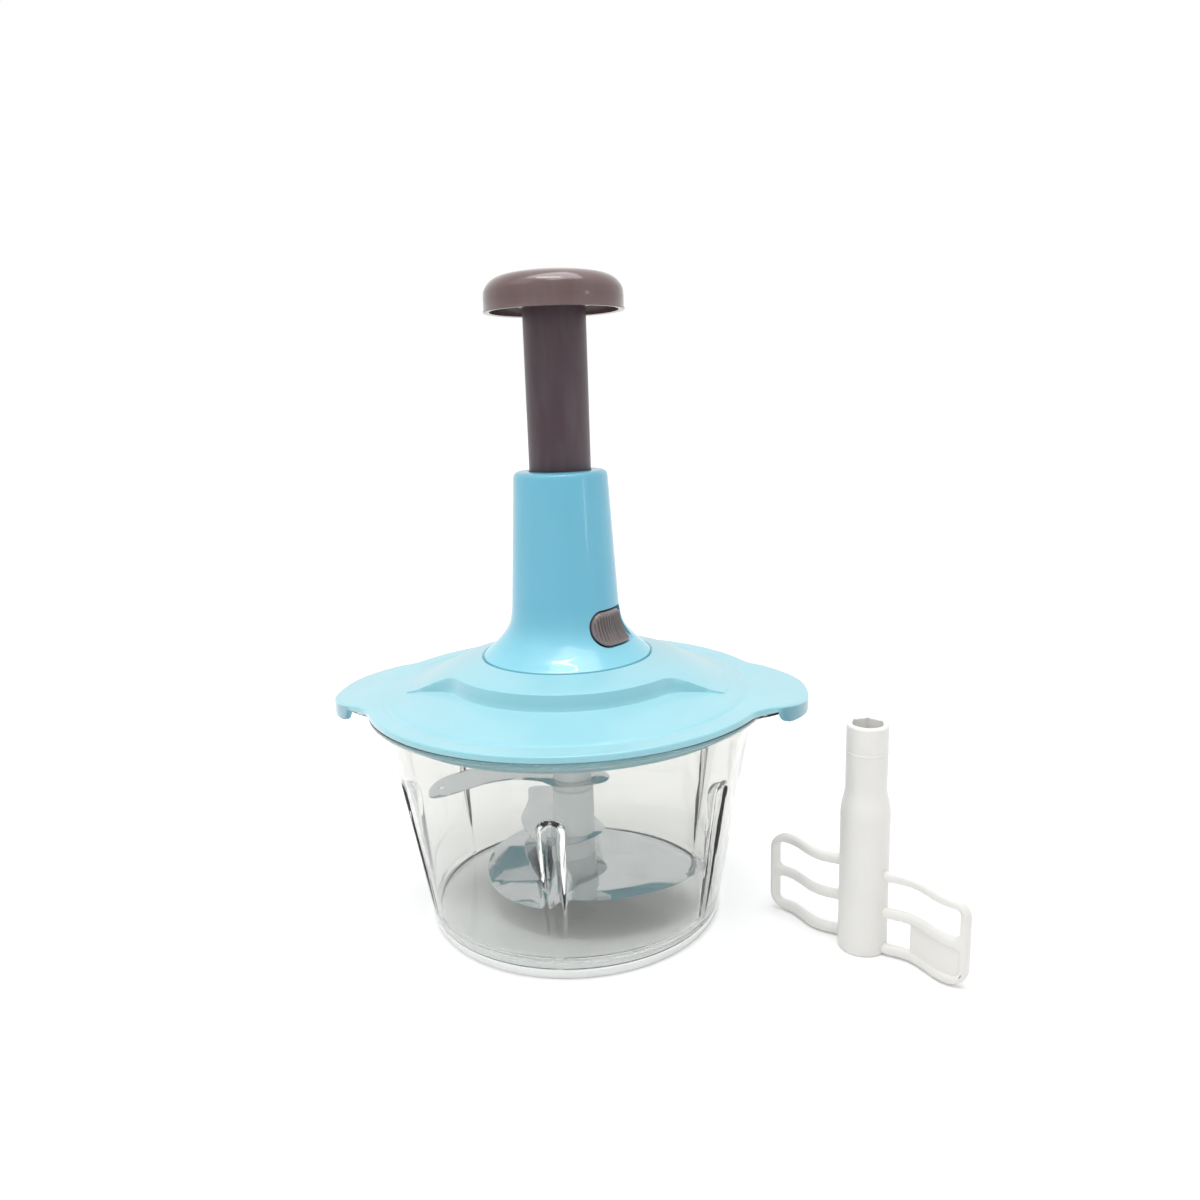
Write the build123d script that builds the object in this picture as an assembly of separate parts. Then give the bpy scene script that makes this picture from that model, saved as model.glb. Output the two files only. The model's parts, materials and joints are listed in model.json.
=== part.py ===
from build123d import *
import os
from math import cos, pi, radians, sin, sqrt

# Plunger food chopper: clear bowl, lid with a tower, and a sprung plunger that turns the blades.
# Millimetres. +Z is up, the origin is the centre of the bowl's foot, and the lid's ears lie on +X and -X.

# ---------------------------------------------------------------- driving dimensions
# Bowl and mat
mat_inset = 1.5             # how far its resting face is drawn in from the bowl's wall
mat_t = 3.0                 # under the bowl's floor
mat_lip_h = 1.8             # lip round the bowl's foot
bowl_foot_r = 67.1          # wall's outer radius where it starts, on the mat's lip
bowl_slope = 0.17           # radius gained per millimetre of height
bowl_h = 100.0              # underside of the floor to the top of the rim
bowl_wall = 2.5
bowl_floor_t = 2.8
floor_corner_r = 5.0
foot_step = 2.8             # how far the foot is set in from the wall
rim_flange_w = 5.8          # how far the rim stands out from the wall
rim_flange_t = 2.4
flute_count = 6
flute_turn = 31.5           # angle of the first flute
flute_r = 6.25              # each inward flute is a round post of this radius, drawn out through the wall
flute_inset = 0.8           # a flute's crest lies this far inside the foot of the wall
flute_top = 76.3            # height of its rounded top above the table
lug_inset = 3.4             # bowl lug inside the outline of the lid's ear
pin_boss_r = 6.0
pin_boss_h = 3.2

# Pivot pin and blades
pin_r = 2.0
pin_collar_r = 3.4
pin_collar_h = 10.7
pin_top_len = 10.3
pin_sunk = 0.8              # end moulded into the floor
hub_foot_r = 9.6
hub_top_r = 8.9
hub_step_h = 38.0           # height above the hub's foot where it narrows
hub_plate_gap = 2.0         # between the top of the hub and the bearing plate
hub_bore_r = 5.7
hub_bush_r = 5.0
hub_bush_h = 10.0
hub_web_t = 3.0             # closed web over the bush
socket_depth = 13.0
hex_af = 12.3               # across the flats of the drive hexagon
blade_t = 1.2
blade_seat_depth = 1.8      # how deep a blade's eye is moulded into the hub
blade_eye_w = 3.0
blade_hole_r = 1.6
blade_hole_in = 5.0         # from the upper blade's reach to its hole
blade_hole_angle = 196.0
lower_blade_gap = 4.8       # tips of the blades pass the flutes at these distances
middle_blade_gap = 8.3
upper_blade_gap = 1.0
hub_step_drop = 0.8
lower_blade_h = 4.2         # heights of the blades' undersides above the hub's foot
middle_blade_h = 15.0
upper_blade_h = 41.4

# Lid
lid_overhang = 0.4          # beyond the bowl's rim
lid_rim_t = 2.8
lid_wall = 2.4
rim_ring_w = 12.5           # flat ring round the dome
dome_flank_w = 25.0         # from the dome's foot in to the knee, where the gentle crown begins
dome_knee_h = 12.2          # above the rim's top
dome_fillet_w = 6.0         # where the flank runs out into the rim
dome_fillet_h = 1.3
crown_h = 16.0
plug_wall = 3.3             # ring that enters the bowl
plug_depth = 7.7
plug_gap = 0.7
gasket_t = 2.6
gasket_groove_d = 1.8
gasket_drop = 3.6           # below the lid's seat on the rim
gasket_gap = 0.35
ear_reach = 17.0            # beyond the rim
ear_droop = 7.0             # degrees, from the rim to the tip
ear_skirt_h = 8.5
ear_wall = 2.2
ear_skirt_from = 0.45       # share of the ear's reach where its skirt starts
ear_bend = 2.0              # the droop starts this far inside the rim
ear_point_count = 14
recess_floor_h = 1.3        # above the rim's top
recess_wall_out = 1.5       # its wall stands this far outside the knee
recess_tip_in = 6.5         # its tips end this far inside the dome's foot
recess_tip_angle = 74.0     # degrees either side of the front
recess_corner_angle = 54.8
recess_side_angle = 38.0
recess_front_out = 1.5      # its floor runs this far past the dome's foot
well_r = 18.5               # drive well under the tower
well_wall = 2.0
well_depth = 18.0           # down to the bearing plate that closes it
plate_t = 2.5
plate_margin = 1.0          # plate beyond the bosses
boss_r = 3.0
boss_start = 30.0           # angle of the first boss

# Tower
tower_foot_r = 37.4
tower_foot_t = 2.5
tower_h = 81.0              # above the crown of the lid
tower_wall = 2.4
tower_top_r = 20.4
neck_r = 23.8               # where the straight neck meets the flared foot
neck_h = 22.0               # that height above the crown
mouth_t = 2.2
bush_h = 4.5
key_w = 3.0                 # ribs that stop the plunger turning
key_r = 15.8
tower_screw_circle_r = 29.5
tower_screw_start = 45.0    # angle of the first screw
tower_boss_h = 7.0
flare = ((1.05, 0.70), (1.151, 0.47), (1.311, 0.27), (1.454, 0.125))    # shares of the neck's size

# Plunger
stem_r = 13.4
stem_wall = 2.0
travel = 65.0
stop_ring_r = 17.3
stop_ring_h = 4.0
cap_r = 29.4
cap_wall = 2.2
cap_side_h = 6.0
cap_h = 16.5
cap_crown_rise = 1.8
cap_crown_r = 21.2          # where the crown meets the rounded shoulder
cap_shoulder_r = 27.3       # a point on the shoulder
cap_shoulder_rise = 0.62    # its height, as a share of the shoulder's
cap_tower_gap = 1.0         # left between the cap and the tower when it is pressed right down
collar_wall = 1.8
stem_in_cap = 10.0          # stem above the cap's rim
strip_w = 9.0
strip_t = 1.6
strip_pitch = 36.0          # height of one full turn
strip_tail = 7.0            # strip left below the drive nut at rest
strip_end_gap = 2.0         # left above the strip in its anchor
anchor_h = 11.0
cross_pin_r = 1.2

# Guide tube and springs
guide_r = 11.1
guide_wall = 1.2
guide_flange_t = 2.4
seat_t = 0.8
spring_r = 8.7              # middle of the wire
spring_wire_r = 0.6
spring_turns = 20
clutch_spring_r = 11.6
clutch_wire_r = 0.5
clutch_turns = 3

# Drive
neck_bearing_r = 9.0
drive_flange_r = 16.5
drive_flange_t = 3.0
ratchet_r = 15.5
ratchet_t = 3.0
tooth_count = 10
tooth_h = 1.6
tooth_w = 2.4
spigot_r = 7.9
nut_r = 15.0
nut_t = 3.6
nut_neck_r = 9.0
nut_neck_h = 2.6
nut_web_t = 3.0             # the web that holds the twisted slot
tooth_inset = 0.5           # teeth stop this far short of the rings' edges
hex_end_gap = 2.0           # left under the hexagon in the hub

# Lock
lock_angle = -36.5          # degrees, middle of the button at rest
lock_turn = 11.0            # degrees that it slides
button_w = 22.0
button_h = 16.5
button_z = 16.2             # middle of the button above the crown
button_proud = 1.3
button_round_share = 0.48   # corner radius of the round end, as a share of the height
button_corner_share = 0.15
rib_inset = 1.2             # ribs stop this far short of the button's edge
rib_count = 9
rib_proud = 0.5
slider_t = 1.6
slider_border = 3.0
pawl_w = 5.0
pawl_t = 2.5

# Screws
screw_r = 1.3
screw_head_r = 2.4
screw_head_h = 1.6
tower_screw_count = 4
plate_screw_count = 3
plate_grip = 8.0            # how far each kind of screw enters its boss
guide_grip = 7.0
tower_grip = 5.5

# Whisk, standing beside the bowl
whisk_x = 127.6
whisk_y = -33.5
whisk_angle = -39.5         # degrees, direction of its first paddle
whisk_h = 100.0
whisk_foot_r = 10.2
whisk_top_r = 8.5
whisk_shoulder_z = 61.5
whisk_shoulder_h = 10.5
whisk_bore_r = 6.0
whisk_socket_depth = 15.0
paddle_reach = 47.0
paddle_h = 38.0
paddle_foot = 0.5
paddle_t = 4.6
bar_h = 5.4
post_w = 5.5
paddle_wave = 2.1           # how far the paddle swings to either side
web_t = 1.3
web_start = 22.0            # distance from the whisk's axis
wave_start = 2.0            # straight part next to the tube
wave_point_count = 12
edge_round = 0.8            # small chamfers at the tube's ends

# ---------------------------------------------------------------- clearances
seat_gap = 0.2              # lid on the rim
run_gap = 0.1               # turned pieces that run in each other
slide_gap = 0.3             # pieces that pass each other
slot_gap = 0.35             # strip in the nut's slot
hex_gap = 0.15
flush_gap = 0.6             # line between the tower's foot and the lid
hole_gap = 0.2              # screw in its clearance hole
past = 1.0                  # how far a cutting shape runs past the face that it cuts
join = 0.5                  # how far joined shapes run into each other

# ---------------------------------------------------------------- derived heights and radii
floor_top = mat_t + bowl_floor_t
lip_top = mat_t + mat_lip_h
rim_top = mat_t + bowl_h
lid_seat = rim_top + seat_gap
lid_top = lid_seat + lid_rim_t
crown_z = lid_top + crown_h
foot_floor = crown_z - tower_foot_t         # lid floor that carries the tower and the guide tube
well_floor_z = foot_floor - well_depth
tower_top = crown_z + tower_h
bush_bottom = tower_top - mouth_t - bush_h
stop_top = bush_bottom - slide_gap
stem_bottom = stop_top - stop_ring_h
cap_rim = tower_top + cap_tower_gap + travel
stem_top = cap_rim + stem_in_cap
anchor_bottom = stem_top - anchor_h
pin_z = anchor_bottom + anchor_h / 3
plate_bottom = well_floor_z - plate_t
flange_z = well_floor_z + run_gap
ring_z = flange_z + drive_flange_t
ring_top = ring_z + ratchet_t
nut_z = ring_top + tooth_h + slide_gap
nut_top = nut_z + nut_t
nut_web_z = nut_top + nut_neck_h - nut_web_t
strip_bottom = nut_web_z - strip_tail
strip_top = stem_top - strip_end_gap
guide_base_top = foot_floor + guide_flange_t
guide_top = anchor_bottom - travel - slide_gap * 5
hub_foot = floor_top + pin_boss_h + pin_collar_h + slide_gap
hub_top = plate_bottom - hub_plate_gap
hex_bottom = hub_top - socket_depth + hex_end_gap
lock_mid = crown_z + button_z
pawl_z = stem_bottom - travel + stop_ring_h + 2 * slide_gap


def wall_r(z):
    """Outer radius of the bowl's wall at a height."""
    return bowl_foot_r + bowl_slope * (z - lip_top)


mat_r = bowl_foot_r - mat_inset
flute_crest_r = bowl_foot_r - flute_inset
rim_r = wall_r(rim_top) + rim_flange_w
lid_r = rim_r + lid_overhang
dome_foot_r = lid_r - rim_ring_w
dome_knee_r = dome_foot_r - dome_flank_w
recess_wall_r = dome_knee_r + recess_wall_out
recess_tip_r = dome_foot_r - recess_tip_in
recess_front_r = dome_foot_r + recess_front_out
lower_blade_reach = flute_crest_r - lower_blade_gap
middle_blade_reach = flute_crest_r - middle_blade_gap
upper_blade_reach = flute_crest_r - upper_blade_gap
boss_circle_r = well_r + well_wall + boss_r - join
plate_r = boss_circle_r + boss_r + plate_margin
guide_flange_r = boss_circle_r + boss_r
plug_r = wall_r(lid_seat - plug_depth) - bowl_wall - plug_gap
gasket_top = lid_seat - gasket_drop
gasket_r = wall_r(gasket_top - gasket_t) - bowl_wall - gasket_gap
key_angles = (90, 270)


# ---------------------------------------------------------------- helpers
def turned(*corners):
    """Solid of revolution from (radius, height) corners."""
    return revolve(make_face(Polyline([(r, 0, z) for r, z in corners], close=True)), Axis.Z)


def ring(r_in, r_out, low, high):
    """Plain ring, or a disc where r_in is 0."""
    return turned((r_in, low), (r_out, low), (r_out, high), (r_in, high))


def post(x, y, r, low, high):
    """Round post that stands at x, y."""
    return Pos(x, y, low) * Cylinder(r, high - low, align=(Align.CENTER, Align.CENTER, Align.MIN))


def hexagon(af, low, high):
    """Hexagonal prism."""
    face = RegularPolygon(af / 2, 6, major_radius=False)
    return extrude(Pos(0, 0, low) * face, high - low)


def around(count, radius, start=0.0):
    """Points on a circle."""
    step = 360 / count
    return [polar(radius, start + step * i) for i in range(count)]


def polar(radius, degrees):
    """Plan point at a radius and an angle from +X."""
    return radius * cos(radians(degrees)), radius * sin(radians(degrees))


def all_at(points, r, low, high):
    """Several equal posts as one shape."""
    return Part() + [post(x, y, r, low, high) for x, y in points]


def coil(radius, wire_r, low, high, turns):
    """Open coil spring, its wire between two heights."""
    height = high - low - 2 * wire_r
    path = Helix(height / turns, height, radius, center=(0, 0, low + wire_r))
    return sweep(Plane(path @ 0, z_dir=path % 0) * Circle(wire_r), path)


def screws(points, head_low, tip, head_r=screw_head_r):
    """Pan-head screws: the head starts at head_low and the tip is above or below it."""
    up = tip > head_low
    seat = head_low + screw_head_h if up else head_low
    head = all_at(points, head_r, head_low, head_low + screw_head_h)
    shanks = all_at(points, screw_r, min(seat, tip), max(seat, tip))
    drive = all_at(points, head_r / 3, head_low if up else head_low + screw_head_h / 2,
                   head_low + screw_head_h / 2 if up else head_low + screw_head_h)
    return head + shanks - drive


def strip_angle(z):
    """Angle of the twisted strip's width at a height, with the plunger up."""
    return 360 * (z - pin_z) / strip_pitch


def twisted(width, thickness, low, high):
    """Rectangle that turns with the strip between two heights."""
    face = Pos(0, 0, low) * Rot(0, 0, strip_angle(low)) * Rectangle(width, thickness)
    turn = 360 * (high - low) / strip_pitch
    return Solid.extrude_linear_with_rotation(face.face(), (0, 0, low), (0, 0, high - low), turn)


# ---------------------------------------------------------------- bowl
def ear_face(inset):
    """Plan of an ear on +X: a broad bump that rises from inside the rim, drawn in by inset."""
    tip = lid_r + ear_reach
    falls = ((7, 0.059), (12, 0.294), (16.5, 0.588), (21, 0.841), (27, 1.118), (34, 1.294))
    side = [polar(tip - ear_reach * fall, a) for a, fall in falls]
    outline = [(x, -y) for x, y in reversed(side)] + [(tip, 0)] + side
    bump = Spline([Vector(x, y) for x, y in outline])
    if inset:
        places = [i / ear_point_count for i in range(ear_point_count + 1)]
        bump = Spline([bump @ t + Vector(-(bump % t).Y, (bump % t).X) * inset for t in places])
    return make_face(bump + Line(bump @ 1, bump @ 0))


def both_ends(shape):
    """The shape and its copy turned half a turn about the axis."""
    return shape + Rot(0, 0, 180) * shape


def bowl_envelope():
    """Everything inside the bowl's outer wall."""
    return turned((0, lip_top), (wall_r(lip_top), lip_top), (wall_r(rim_top), rim_top), (0, rim_top))


def flute_angles():
    return [flute_turn + 360 / flute_count * i for i in range(flute_count)]


def flute(angle, r):
    """Round post with a domed top, drawn out through the wall."""
    x = flute_crest_r + flute_r
    straight_top = flute_top - flute_r
    run = wall_r(flute_top) - x + past
    middle = Pos(x + run / 2, 0, (floor_top + straight_top) / 2)
    near_side = post(x, 0, r, floor_top, straight_top) + Pos(x, 0, straight_top) * Sphere(r)
    far_side = middle * Box(run, 2 * r, straight_top - floor_top)
    far_top = Pos(x + run / 2, 0, straight_top) * Rot(0, 90, 0) * Cylinder(r, run)
    return Rot(0, 0, angle) * (near_side + far_side + far_top)


def mixing_bowl():
    inner_foot = wall_r(floor_top) - bowl_wall
    outer = bowl_envelope() + ring(0, bowl_foot_r - foot_step, mat_t, lip_top)
    outer += ring(0, rim_r, rim_top - rim_flange_t, rim_top)
    lug = extrude(Pos(0, 0, rim_top - rim_flange_t) * ear_face(lug_inset), rim_flange_t)
    outer += both_ends(lug)
    hollow = turned((0, floor_top), (inner_foot, floor_top),
                    (wall_r(rim_top) - bowl_wall, rim_top), (wall_r(rim_top) - bowl_wall, rim_top + past),
                    (0, rim_top + past))
    floor_edge = hollow.edges().sort_by(Axis.Z)[0]
    hollow = fillet(floor_edge, floor_corner_r)
    bowl = outer - hollow
    envelope = bowl_envelope()
    for angle in flute_angles():
        bowl += flute(angle, flute_r) & envelope
    for angle in flute_angles():
        bowl -= flute(angle, flute_r - bowl_wall + slide_gap)
    bowl += ring(0, pin_boss_r, floor_top - join, floor_top + pin_boss_h)
    return bowl - ring(0, pin_r, floor_top - pin_sunk, floor_top + pin_boss_h + past)


def base_mat():
    foot = bowl_foot_r - foot_step
    return turned((0, 0), (mat_r, 0), (bowl_foot_r + slide_gap, lip_top), (foot, lip_top), (foot, mat_t),
                  (0, mat_t))


def pivot_pin():
    collar_z = floor_top + pin_boss_h
    collar_top = collar_z + pin_collar_h
    pin = ring(0, pin_r, floor_top - pin_sunk, collar_top + pin_top_len)
    pin = chamfer(pin.edges().sort_by(Axis.Z)[-1], pin_r / 3)
    return pin + ring(0, pin_collar_r, collar_z, collar_top)


# ---------------------------------------------------------------- blades
def blade_levels():
    return [hub_foot + h for h in (lower_blade_h, middle_blade_h, upper_blade_h)]


def hub_r(z):
    """Outer radius of the hub at a height."""
    return hub_foot_r if z < hub_foot + hub_step_h else hub_top_r


def blade_hub():
    step = hub_foot + hub_step_h
    body = turned((0, hub_foot), (hub_foot_r, hub_foot), (hub_foot_r, step - hub_step_drop),
                  (hub_top_r, step), (hub_top_r, hub_top), (0, hub_top))
    bore_low = hub_foot + hub_bush_h + hub_web_t
    body -= ring(0, hub_bush_r, hub_foot - past, hub_foot + hub_bush_h)
    body -= ring(0, hub_bore_r, bore_low, hub_top)
    body -= hexagon(hex_af + 2 * hex_gap, hub_top - socket_depth, hub_top + past)
    for z in blade_levels():
        body -= ring(hub_r(z) - blade_seat_depth, hub_foot_r + past, z, z + blade_t)
    return body


def hub_bush():
    return ring(pin_r + run_gap / 2, hub_bush_r, hub_foot, hub_foot + hub_bush_h - slide_gap)


def blade(level, reach, outline):
    """Flat blade with an eye round the hub, from angles and shares of its reach, its tip first."""
    face = make_face(Spline([Vector(*polar(reach * share, a)) for a, share in outline]))
    solid = extrude(Pos(0, 0, level) * face, blade_t)
    eye = hub_r(level) - blade_seat_depth
    solid += ring(eye, hub_r(level) + blade_eye_w, level, level + blade_t)
    return solid - ring(0, eye, level - past, level + blade_t + past)


def lower_blade():
    outline = [(350, 1), (358, 0.846), (8, 0.715), (35, 0.545), (77, 0.439), (112, 0.504), (140, 0.602),
               (190, 0.667), (235, 0.691), (280, 0.748), (310, 0.829), (332, 0.927), (350, 1)]
    return blade(blade_levels()[0], lower_blade_reach, outline)


def middle_blade():
    outline = [(121, 1), (106, 0.897), (94, 0.621), (60, 0.293), (0, 0.241), (270, 0.259), (212, 0.345),
               (160, 0.500), (130, 0.759), (121, 1)]
    return blade(blade_levels()[1], middle_blade_reach, outline)


def upper_blade():
    outline = [(204, 1), (201, 0.803), (193, 0.621), (189, 0.424), (200, 0.242), (250, 0.197),
               (330, 0.227), (0, 0.265), (30, 0.242), (90, 0.303), (140, 0.485), (165, 0.712),
               (180, 0.909), (192, 1), (204, 1)]
    hole = post(*polar(upper_blade_reach - blade_hole_in, blade_hole_angle), blade_hole_r, hub_foot, hub_top)
    return blade(blade_levels()[2], upper_blade_reach, outline) - hole


# ---------------------------------------------------------------- lid
def crescent(grow, low, high):
    """Crescent prism at the front of the dome, its wall moved inwards by grow."""
    tip_r = recess_tip_r - grow
    wall = recess_wall_r - grow
    turns = (recess_corner_angle, recess_side_angle, 0, -recess_side_angle, -recess_corner_angle)
    left, right = polar(tip_r, -90 - recess_tip_angle), polar(tip_r, -90 + recess_tip_angle)
    inner = Spline([Vector(*p) for p in (left, *(polar(wall, -90 - turn) for turn in turns), right)])
    outer = ThreePointArc(right, (0, -recess_front_r), left)
    return extrude(Pos(0, 0, low) * make_face(inner + outer), high - low)


def dome(drop, shrink):
    """Solid under the lid's top surface, lowered by drop and drawn in by shrink."""
    knee_r, foot_r = dome_knee_r - shrink, dome_foot_r - shrink
    top = [(0, crown_z - drop), (tower_foot_r, crown_z - drop), (knee_r, lid_top + dome_knee_h - drop)]
    bend = (foot_r - dome_fillet_w, lid_top - drop + dome_fillet_h)
    edges = Polyline([(r, 0, z) for r, z in top]) + Line((knee_r, 0, top[2][1]), (bend[0], 0, bend[1]))
    edges += Spline([Vector(bend[0], 0, bend[1]), Vector(foot_r, 0, lid_top - drop)],
                    tangents=[(bend[0] - knee_r, 0, bend[1] - top[2][1]), (1, 0, 0)])
    base = lid_seat - drop
    edges += Polyline((foot_r, 0, lid_top - drop), (foot_r, 0, base), (0, 0, base), (0, 0, crown_z - drop))
    return revolve(make_face(edges), Axis.Z)


def ear():
    """Ear on +X: a drooping plate with a skirt that hangs round its outer edge."""
    low = lid_top - ear_skirt_h - ear_reach * sin(radians(ear_droop))
    block = extrude(Pos(0, 0, low) * ear_face(0), lid_top - low)
    cavity = extrude(Pos(0, 0, low) * ear_face(ear_wall), lid_seat - low)
    root = Pos(0, 0, low) * Box(2 * (lid_r + ear_reach * ear_skirt_from), 2 * lid_r, 2 * (lid_seat - low))
    slab = Box(lid_r, 2 * lid_r, lid_r, align=(Align.MIN, Align.CENTER, Align.MIN))
    above = Pos(lid_r - ear_bend, 0, lid_top) * Rot(0, ear_droop, 0) * slab
    return block - cavity - root - above


def boss_points():
    """Places of the bosses round the drive well."""
    return around(plate_screw_count, boss_circle_r, boss_start)


def tower_screw_points():
    return around(tower_screw_count, tower_screw_circle_r, tower_screw_start)


def lid_shell():
    rim = ring(0, lid_r, lid_seat, lid_top)
    shell = fillet(rim.edges().sort_by(Axis.Z)[-1], lid_rim_t / 3) + dome(0, 0) + both_ends(ear())
    shell -= crescent(0, lid_top + recess_floor_h, crown_z + past)
    hollow = dome(lid_wall, lid_wall) - crescent(lid_wall, lid_top + recess_floor_h - lid_wall, crown_z)
    shell -= hollow
    shell += ring(plug_r - plug_wall, plug_r, lid_seat - plug_depth, lid_seat + join)
    shell -= ring(plug_r - gasket_groove_d, plug_r + past, gasket_top - gasket_t, gasket_top)
    well_out = well_r + well_wall
    shell -= ring(0, tower_foot_r + flush_gap, foot_floor, crown_z + past)
    shell += ring(0, tower_foot_r + flush_gap + lid_wall, foot_floor - lid_wall, foot_floor)
    shell += ring(0, well_out, well_floor_z, foot_floor)
    shell += all_at(boss_points(), boss_r, well_floor_z, foot_floor)
    shell -= ring(0, well_r, well_floor_z - past, crown_z)
    shell -= all_at(boss_points(), screw_r, well_floor_z - past, crown_z)
    return shell - all_at(tower_screw_points(), screw_r + hole_gap, lid_seat, crown_z)


def lid_gasket():
    inner, crest = plug_r - gasket_groove_d, gasket_r - gasket_t / 3
    return turned((inner, gasket_top - gasket_t), (crest, gasket_top - gasket_t),
                  (gasket_r, gasket_top - gasket_t / 2), (crest, gasket_top), (inner, gasket_top))


def bearing_plate():
    plate = ring(neck_bearing_r + run_gap, plate_r, plate_bottom, well_floor_z)
    return plate - all_at(boss_points(), screw_r + hole_gap, plate_bottom - past, well_floor_z + past)


def plate_screws():
    return screws(boss_points(), plate_bottom - screw_head_h, well_floor_z + plate_grip)


def guide_screws():
    return screws(boss_points(), guide_base_top, foot_floor - guide_grip)


def tower_screws():
    return screws(tower_screw_points(), foot_floor - lid_wall - screw_head_h, foot_floor + tower_grip)


# ---------------------------------------------------------------- tower
def tower_solid(grow, low):
    """Solid inside the tower's outer surface, with its radii changed by grow, down to a height."""
    neck_z = crown_z + neck_h
    lean = (neck_r - tower_top_r) / (tower_top - neck_z)
    bend = [(neck_r * k, crown_z + neck_h * h) for k, h in flare]
    points = [(neck_r, neck_z), *bend, (tower_foot_r, crown_z)]
    curve = Spline([Vector(r + grow, 0, z) for r, z in points], tangents=[(lean, 0, -1), (1, 0, -0.55)])
    edges = Line((tower_top_r + grow, 0, tower_top), (neck_r + grow, 0, neck_z)) + curve
    edges += Polyline((tower_foot_r + grow, 0, crown_z), (tower_foot_r + grow, 0, low), (0, 0, low),
                      (0, 0, tower_top), (tower_top_r + grow, 0, tower_top))
    return revolve(make_face(edges), Axis.Z)


def radial_prism(angle, face):
    """Prism that runs out from the axis at an angle. The face's x runs along the turn and its y is height."""
    plane = Plane(origin=(0, 0, lock_mid), x_dir=(0, 1, 0), z_dir=(1, 0, 0))
    return Rot(0, 0, angle) * extrude(plane * face, tower_foot_r)


def button_face(border):
    """Outline of the lock button: one end nearly a half circle, the other with small corners."""
    width, height = button_w + 2 * border, button_h + 2 * border
    face = Rectangle(width, height)
    face = fillet(face.vertices().sort_by(Axis.X)[:2], height * button_round_share)
    return fillet(face.vertices().sort_by(Axis.X)[-2:], button_h * button_corner_share + border)


def lock_travel():
    """Length along the surface that the button slides."""
    return radians(lock_turn) * (neck_r + button_proud)


def slot_prism():
    """Slot that the button slides in."""
    gap = 2 * slide_gap
    shift = lock_travel()
    start = radial_prism(lock_angle, button_face(gap))
    middle = radial_prism(lock_angle + lock_turn / 2, Rectangle(shift, button_h + 2 * gap))
    return start + middle + radial_prism(lock_angle + lock_turn, button_face(gap))


def tower_housing():
    body = tower_solid(0, foot_floor) - tower_cavity()
    top_edges = body.edges().filter_by_position(Axis.Z, tower_top - join, tower_top + join)
    body = chamfer(top_edges.sort_by(SortBy.LENGTH)[-1], tower_wall / 2)
    inside = tower_solid(-tower_wall / 2, foot_floor)
    for angle in key_angles:
        rib = Rot(0, 0, angle) * Pos((key_r + neck_r) / 2, 0, (lock_mid + bush_bottom) / 2)
        body += rib * Box(neck_r - key_r, key_w, bush_bottom - lock_mid) & inside
    body += all_at(tower_screw_points(), boss_r, foot_floor, foot_floor + tower_boss_h) & inside
    body -= all_at(tower_screw_points(), screw_r, foot_floor - past, foot_floor + tower_grip + join)
    return body - slot_prism()


def tower_cavity():
    """Hollow of the tower: its inner wall, the bush's seat and the mouth."""
    low, high = foot_floor - past, tower_top - mouth_t
    hollow = tower_solid(-tower_wall, low) & ring(0, tower_foot_r, low, high)
    return hollow + ring(0, stem_r + slide_gap, high - past, tower_top + past)


def stem_bush():
    inner = tower_solid(-tower_wall - run_gap, foot_floor)
    bush = ring(stem_r + run_gap, tower_top_r, bush_bottom, tower_top - mouth_t) & inner
    return bush - key_slots(run_gap)


def key_slots(gap):
    """Slots that clear the tower's two ribs."""
    slot = Box(tower_top_r, key_w + 2 * gap, tower_top, align=(Align.MIN, Align.CENTER, Align.MIN))
    return Part() + [Rot(0, 0, angle) * Pos(key_r - gap, 0, foot_floor) * slot for angle in key_angles]


def guide_tube():
    inner = guide_r - guide_wall
    tube = ring(inner, guide_r, guide_base_top - join, guide_top)
    tube += ring(hub_bore_r, guide_flange_r, foot_floor, guide_base_top)
    low, high = foot_floor - past, guide_base_top + past
    holes = all_at(boss_points(), screw_r + hole_gap, low, high)
    bosses = all_at(tower_screw_points(), boss_r + slide_gap, low, high)
    return tube - holes - bosses


def spring_seat():
    return ring(hub_bore_r, guide_r - guide_wall - run_gap, guide_base_top, guide_base_top + seat_t)


def return_spring():
    return coil(spring_r, spring_wire_r, guide_base_top + seat_t, anchor_bottom, spring_turns)


# ---------------------------------------------------------------- drive
def teeth(low, high, start, up):
    """Saw teeth in a ring, pointing up or down."""
    inner, outer = spigot_r + run_gap + 2 * tooth_inset, nut_r - tooth_inset
    base, tip = (low, high) if up else (high, low)
    half = tooth_w / 2
    plane = Plane(origin=(inner, 0, 0), x_dir=(0, 1, 0), z_dir=(1, 0, 0))
    side = make_face(Polyline((-half, base), (half, base), (half, tip), close=True))
    tooth = extrude(plane * side, outer - inner)
    return Part() + [Rot(0, 0, start + 360 / tooth_count * i) * tooth for i in range(tooth_count)]


def drive_socket():
    neck_z = hub_top + 3 * slide_gap
    body = ring(0, drive_flange_r, flange_z, ring_z) + ring(0, neck_bearing_r, neck_z, flange_z)
    body += ring(0, spigot_r, ring_z, ring_top + tooth_h - slide_gap) + hexagon(hex_af, hex_bottom, neck_z)
    return body - ring(0, hub_bore_r - slide_gap, hex_bottom - past, nut_z)


def ratchet_ring():
    ratchet = ring(spigot_r + run_gap, ratchet_r, ring_z, ring_top)
    return ratchet + teeth(ring_top, ring_top + tooth_h, 0, True)


def drive_nut():
    nut = ring(0, nut_r, nut_z, nut_top) + ring(0, nut_neck_r, nut_top, nut_top + nut_neck_h)
    nut += teeth(nut_z - tooth_h, nut_z, 180 / tooth_count, False)
    nut -= ring(0, hub_bore_r, nut_z - past, nut_web_z)
    low, high = nut_web_z - past, nut_top + nut_neck_h + past
    return nut - twisted(strip_w + 2 * slot_gap, strip_t + 2 * slot_gap, low, high)


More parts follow.
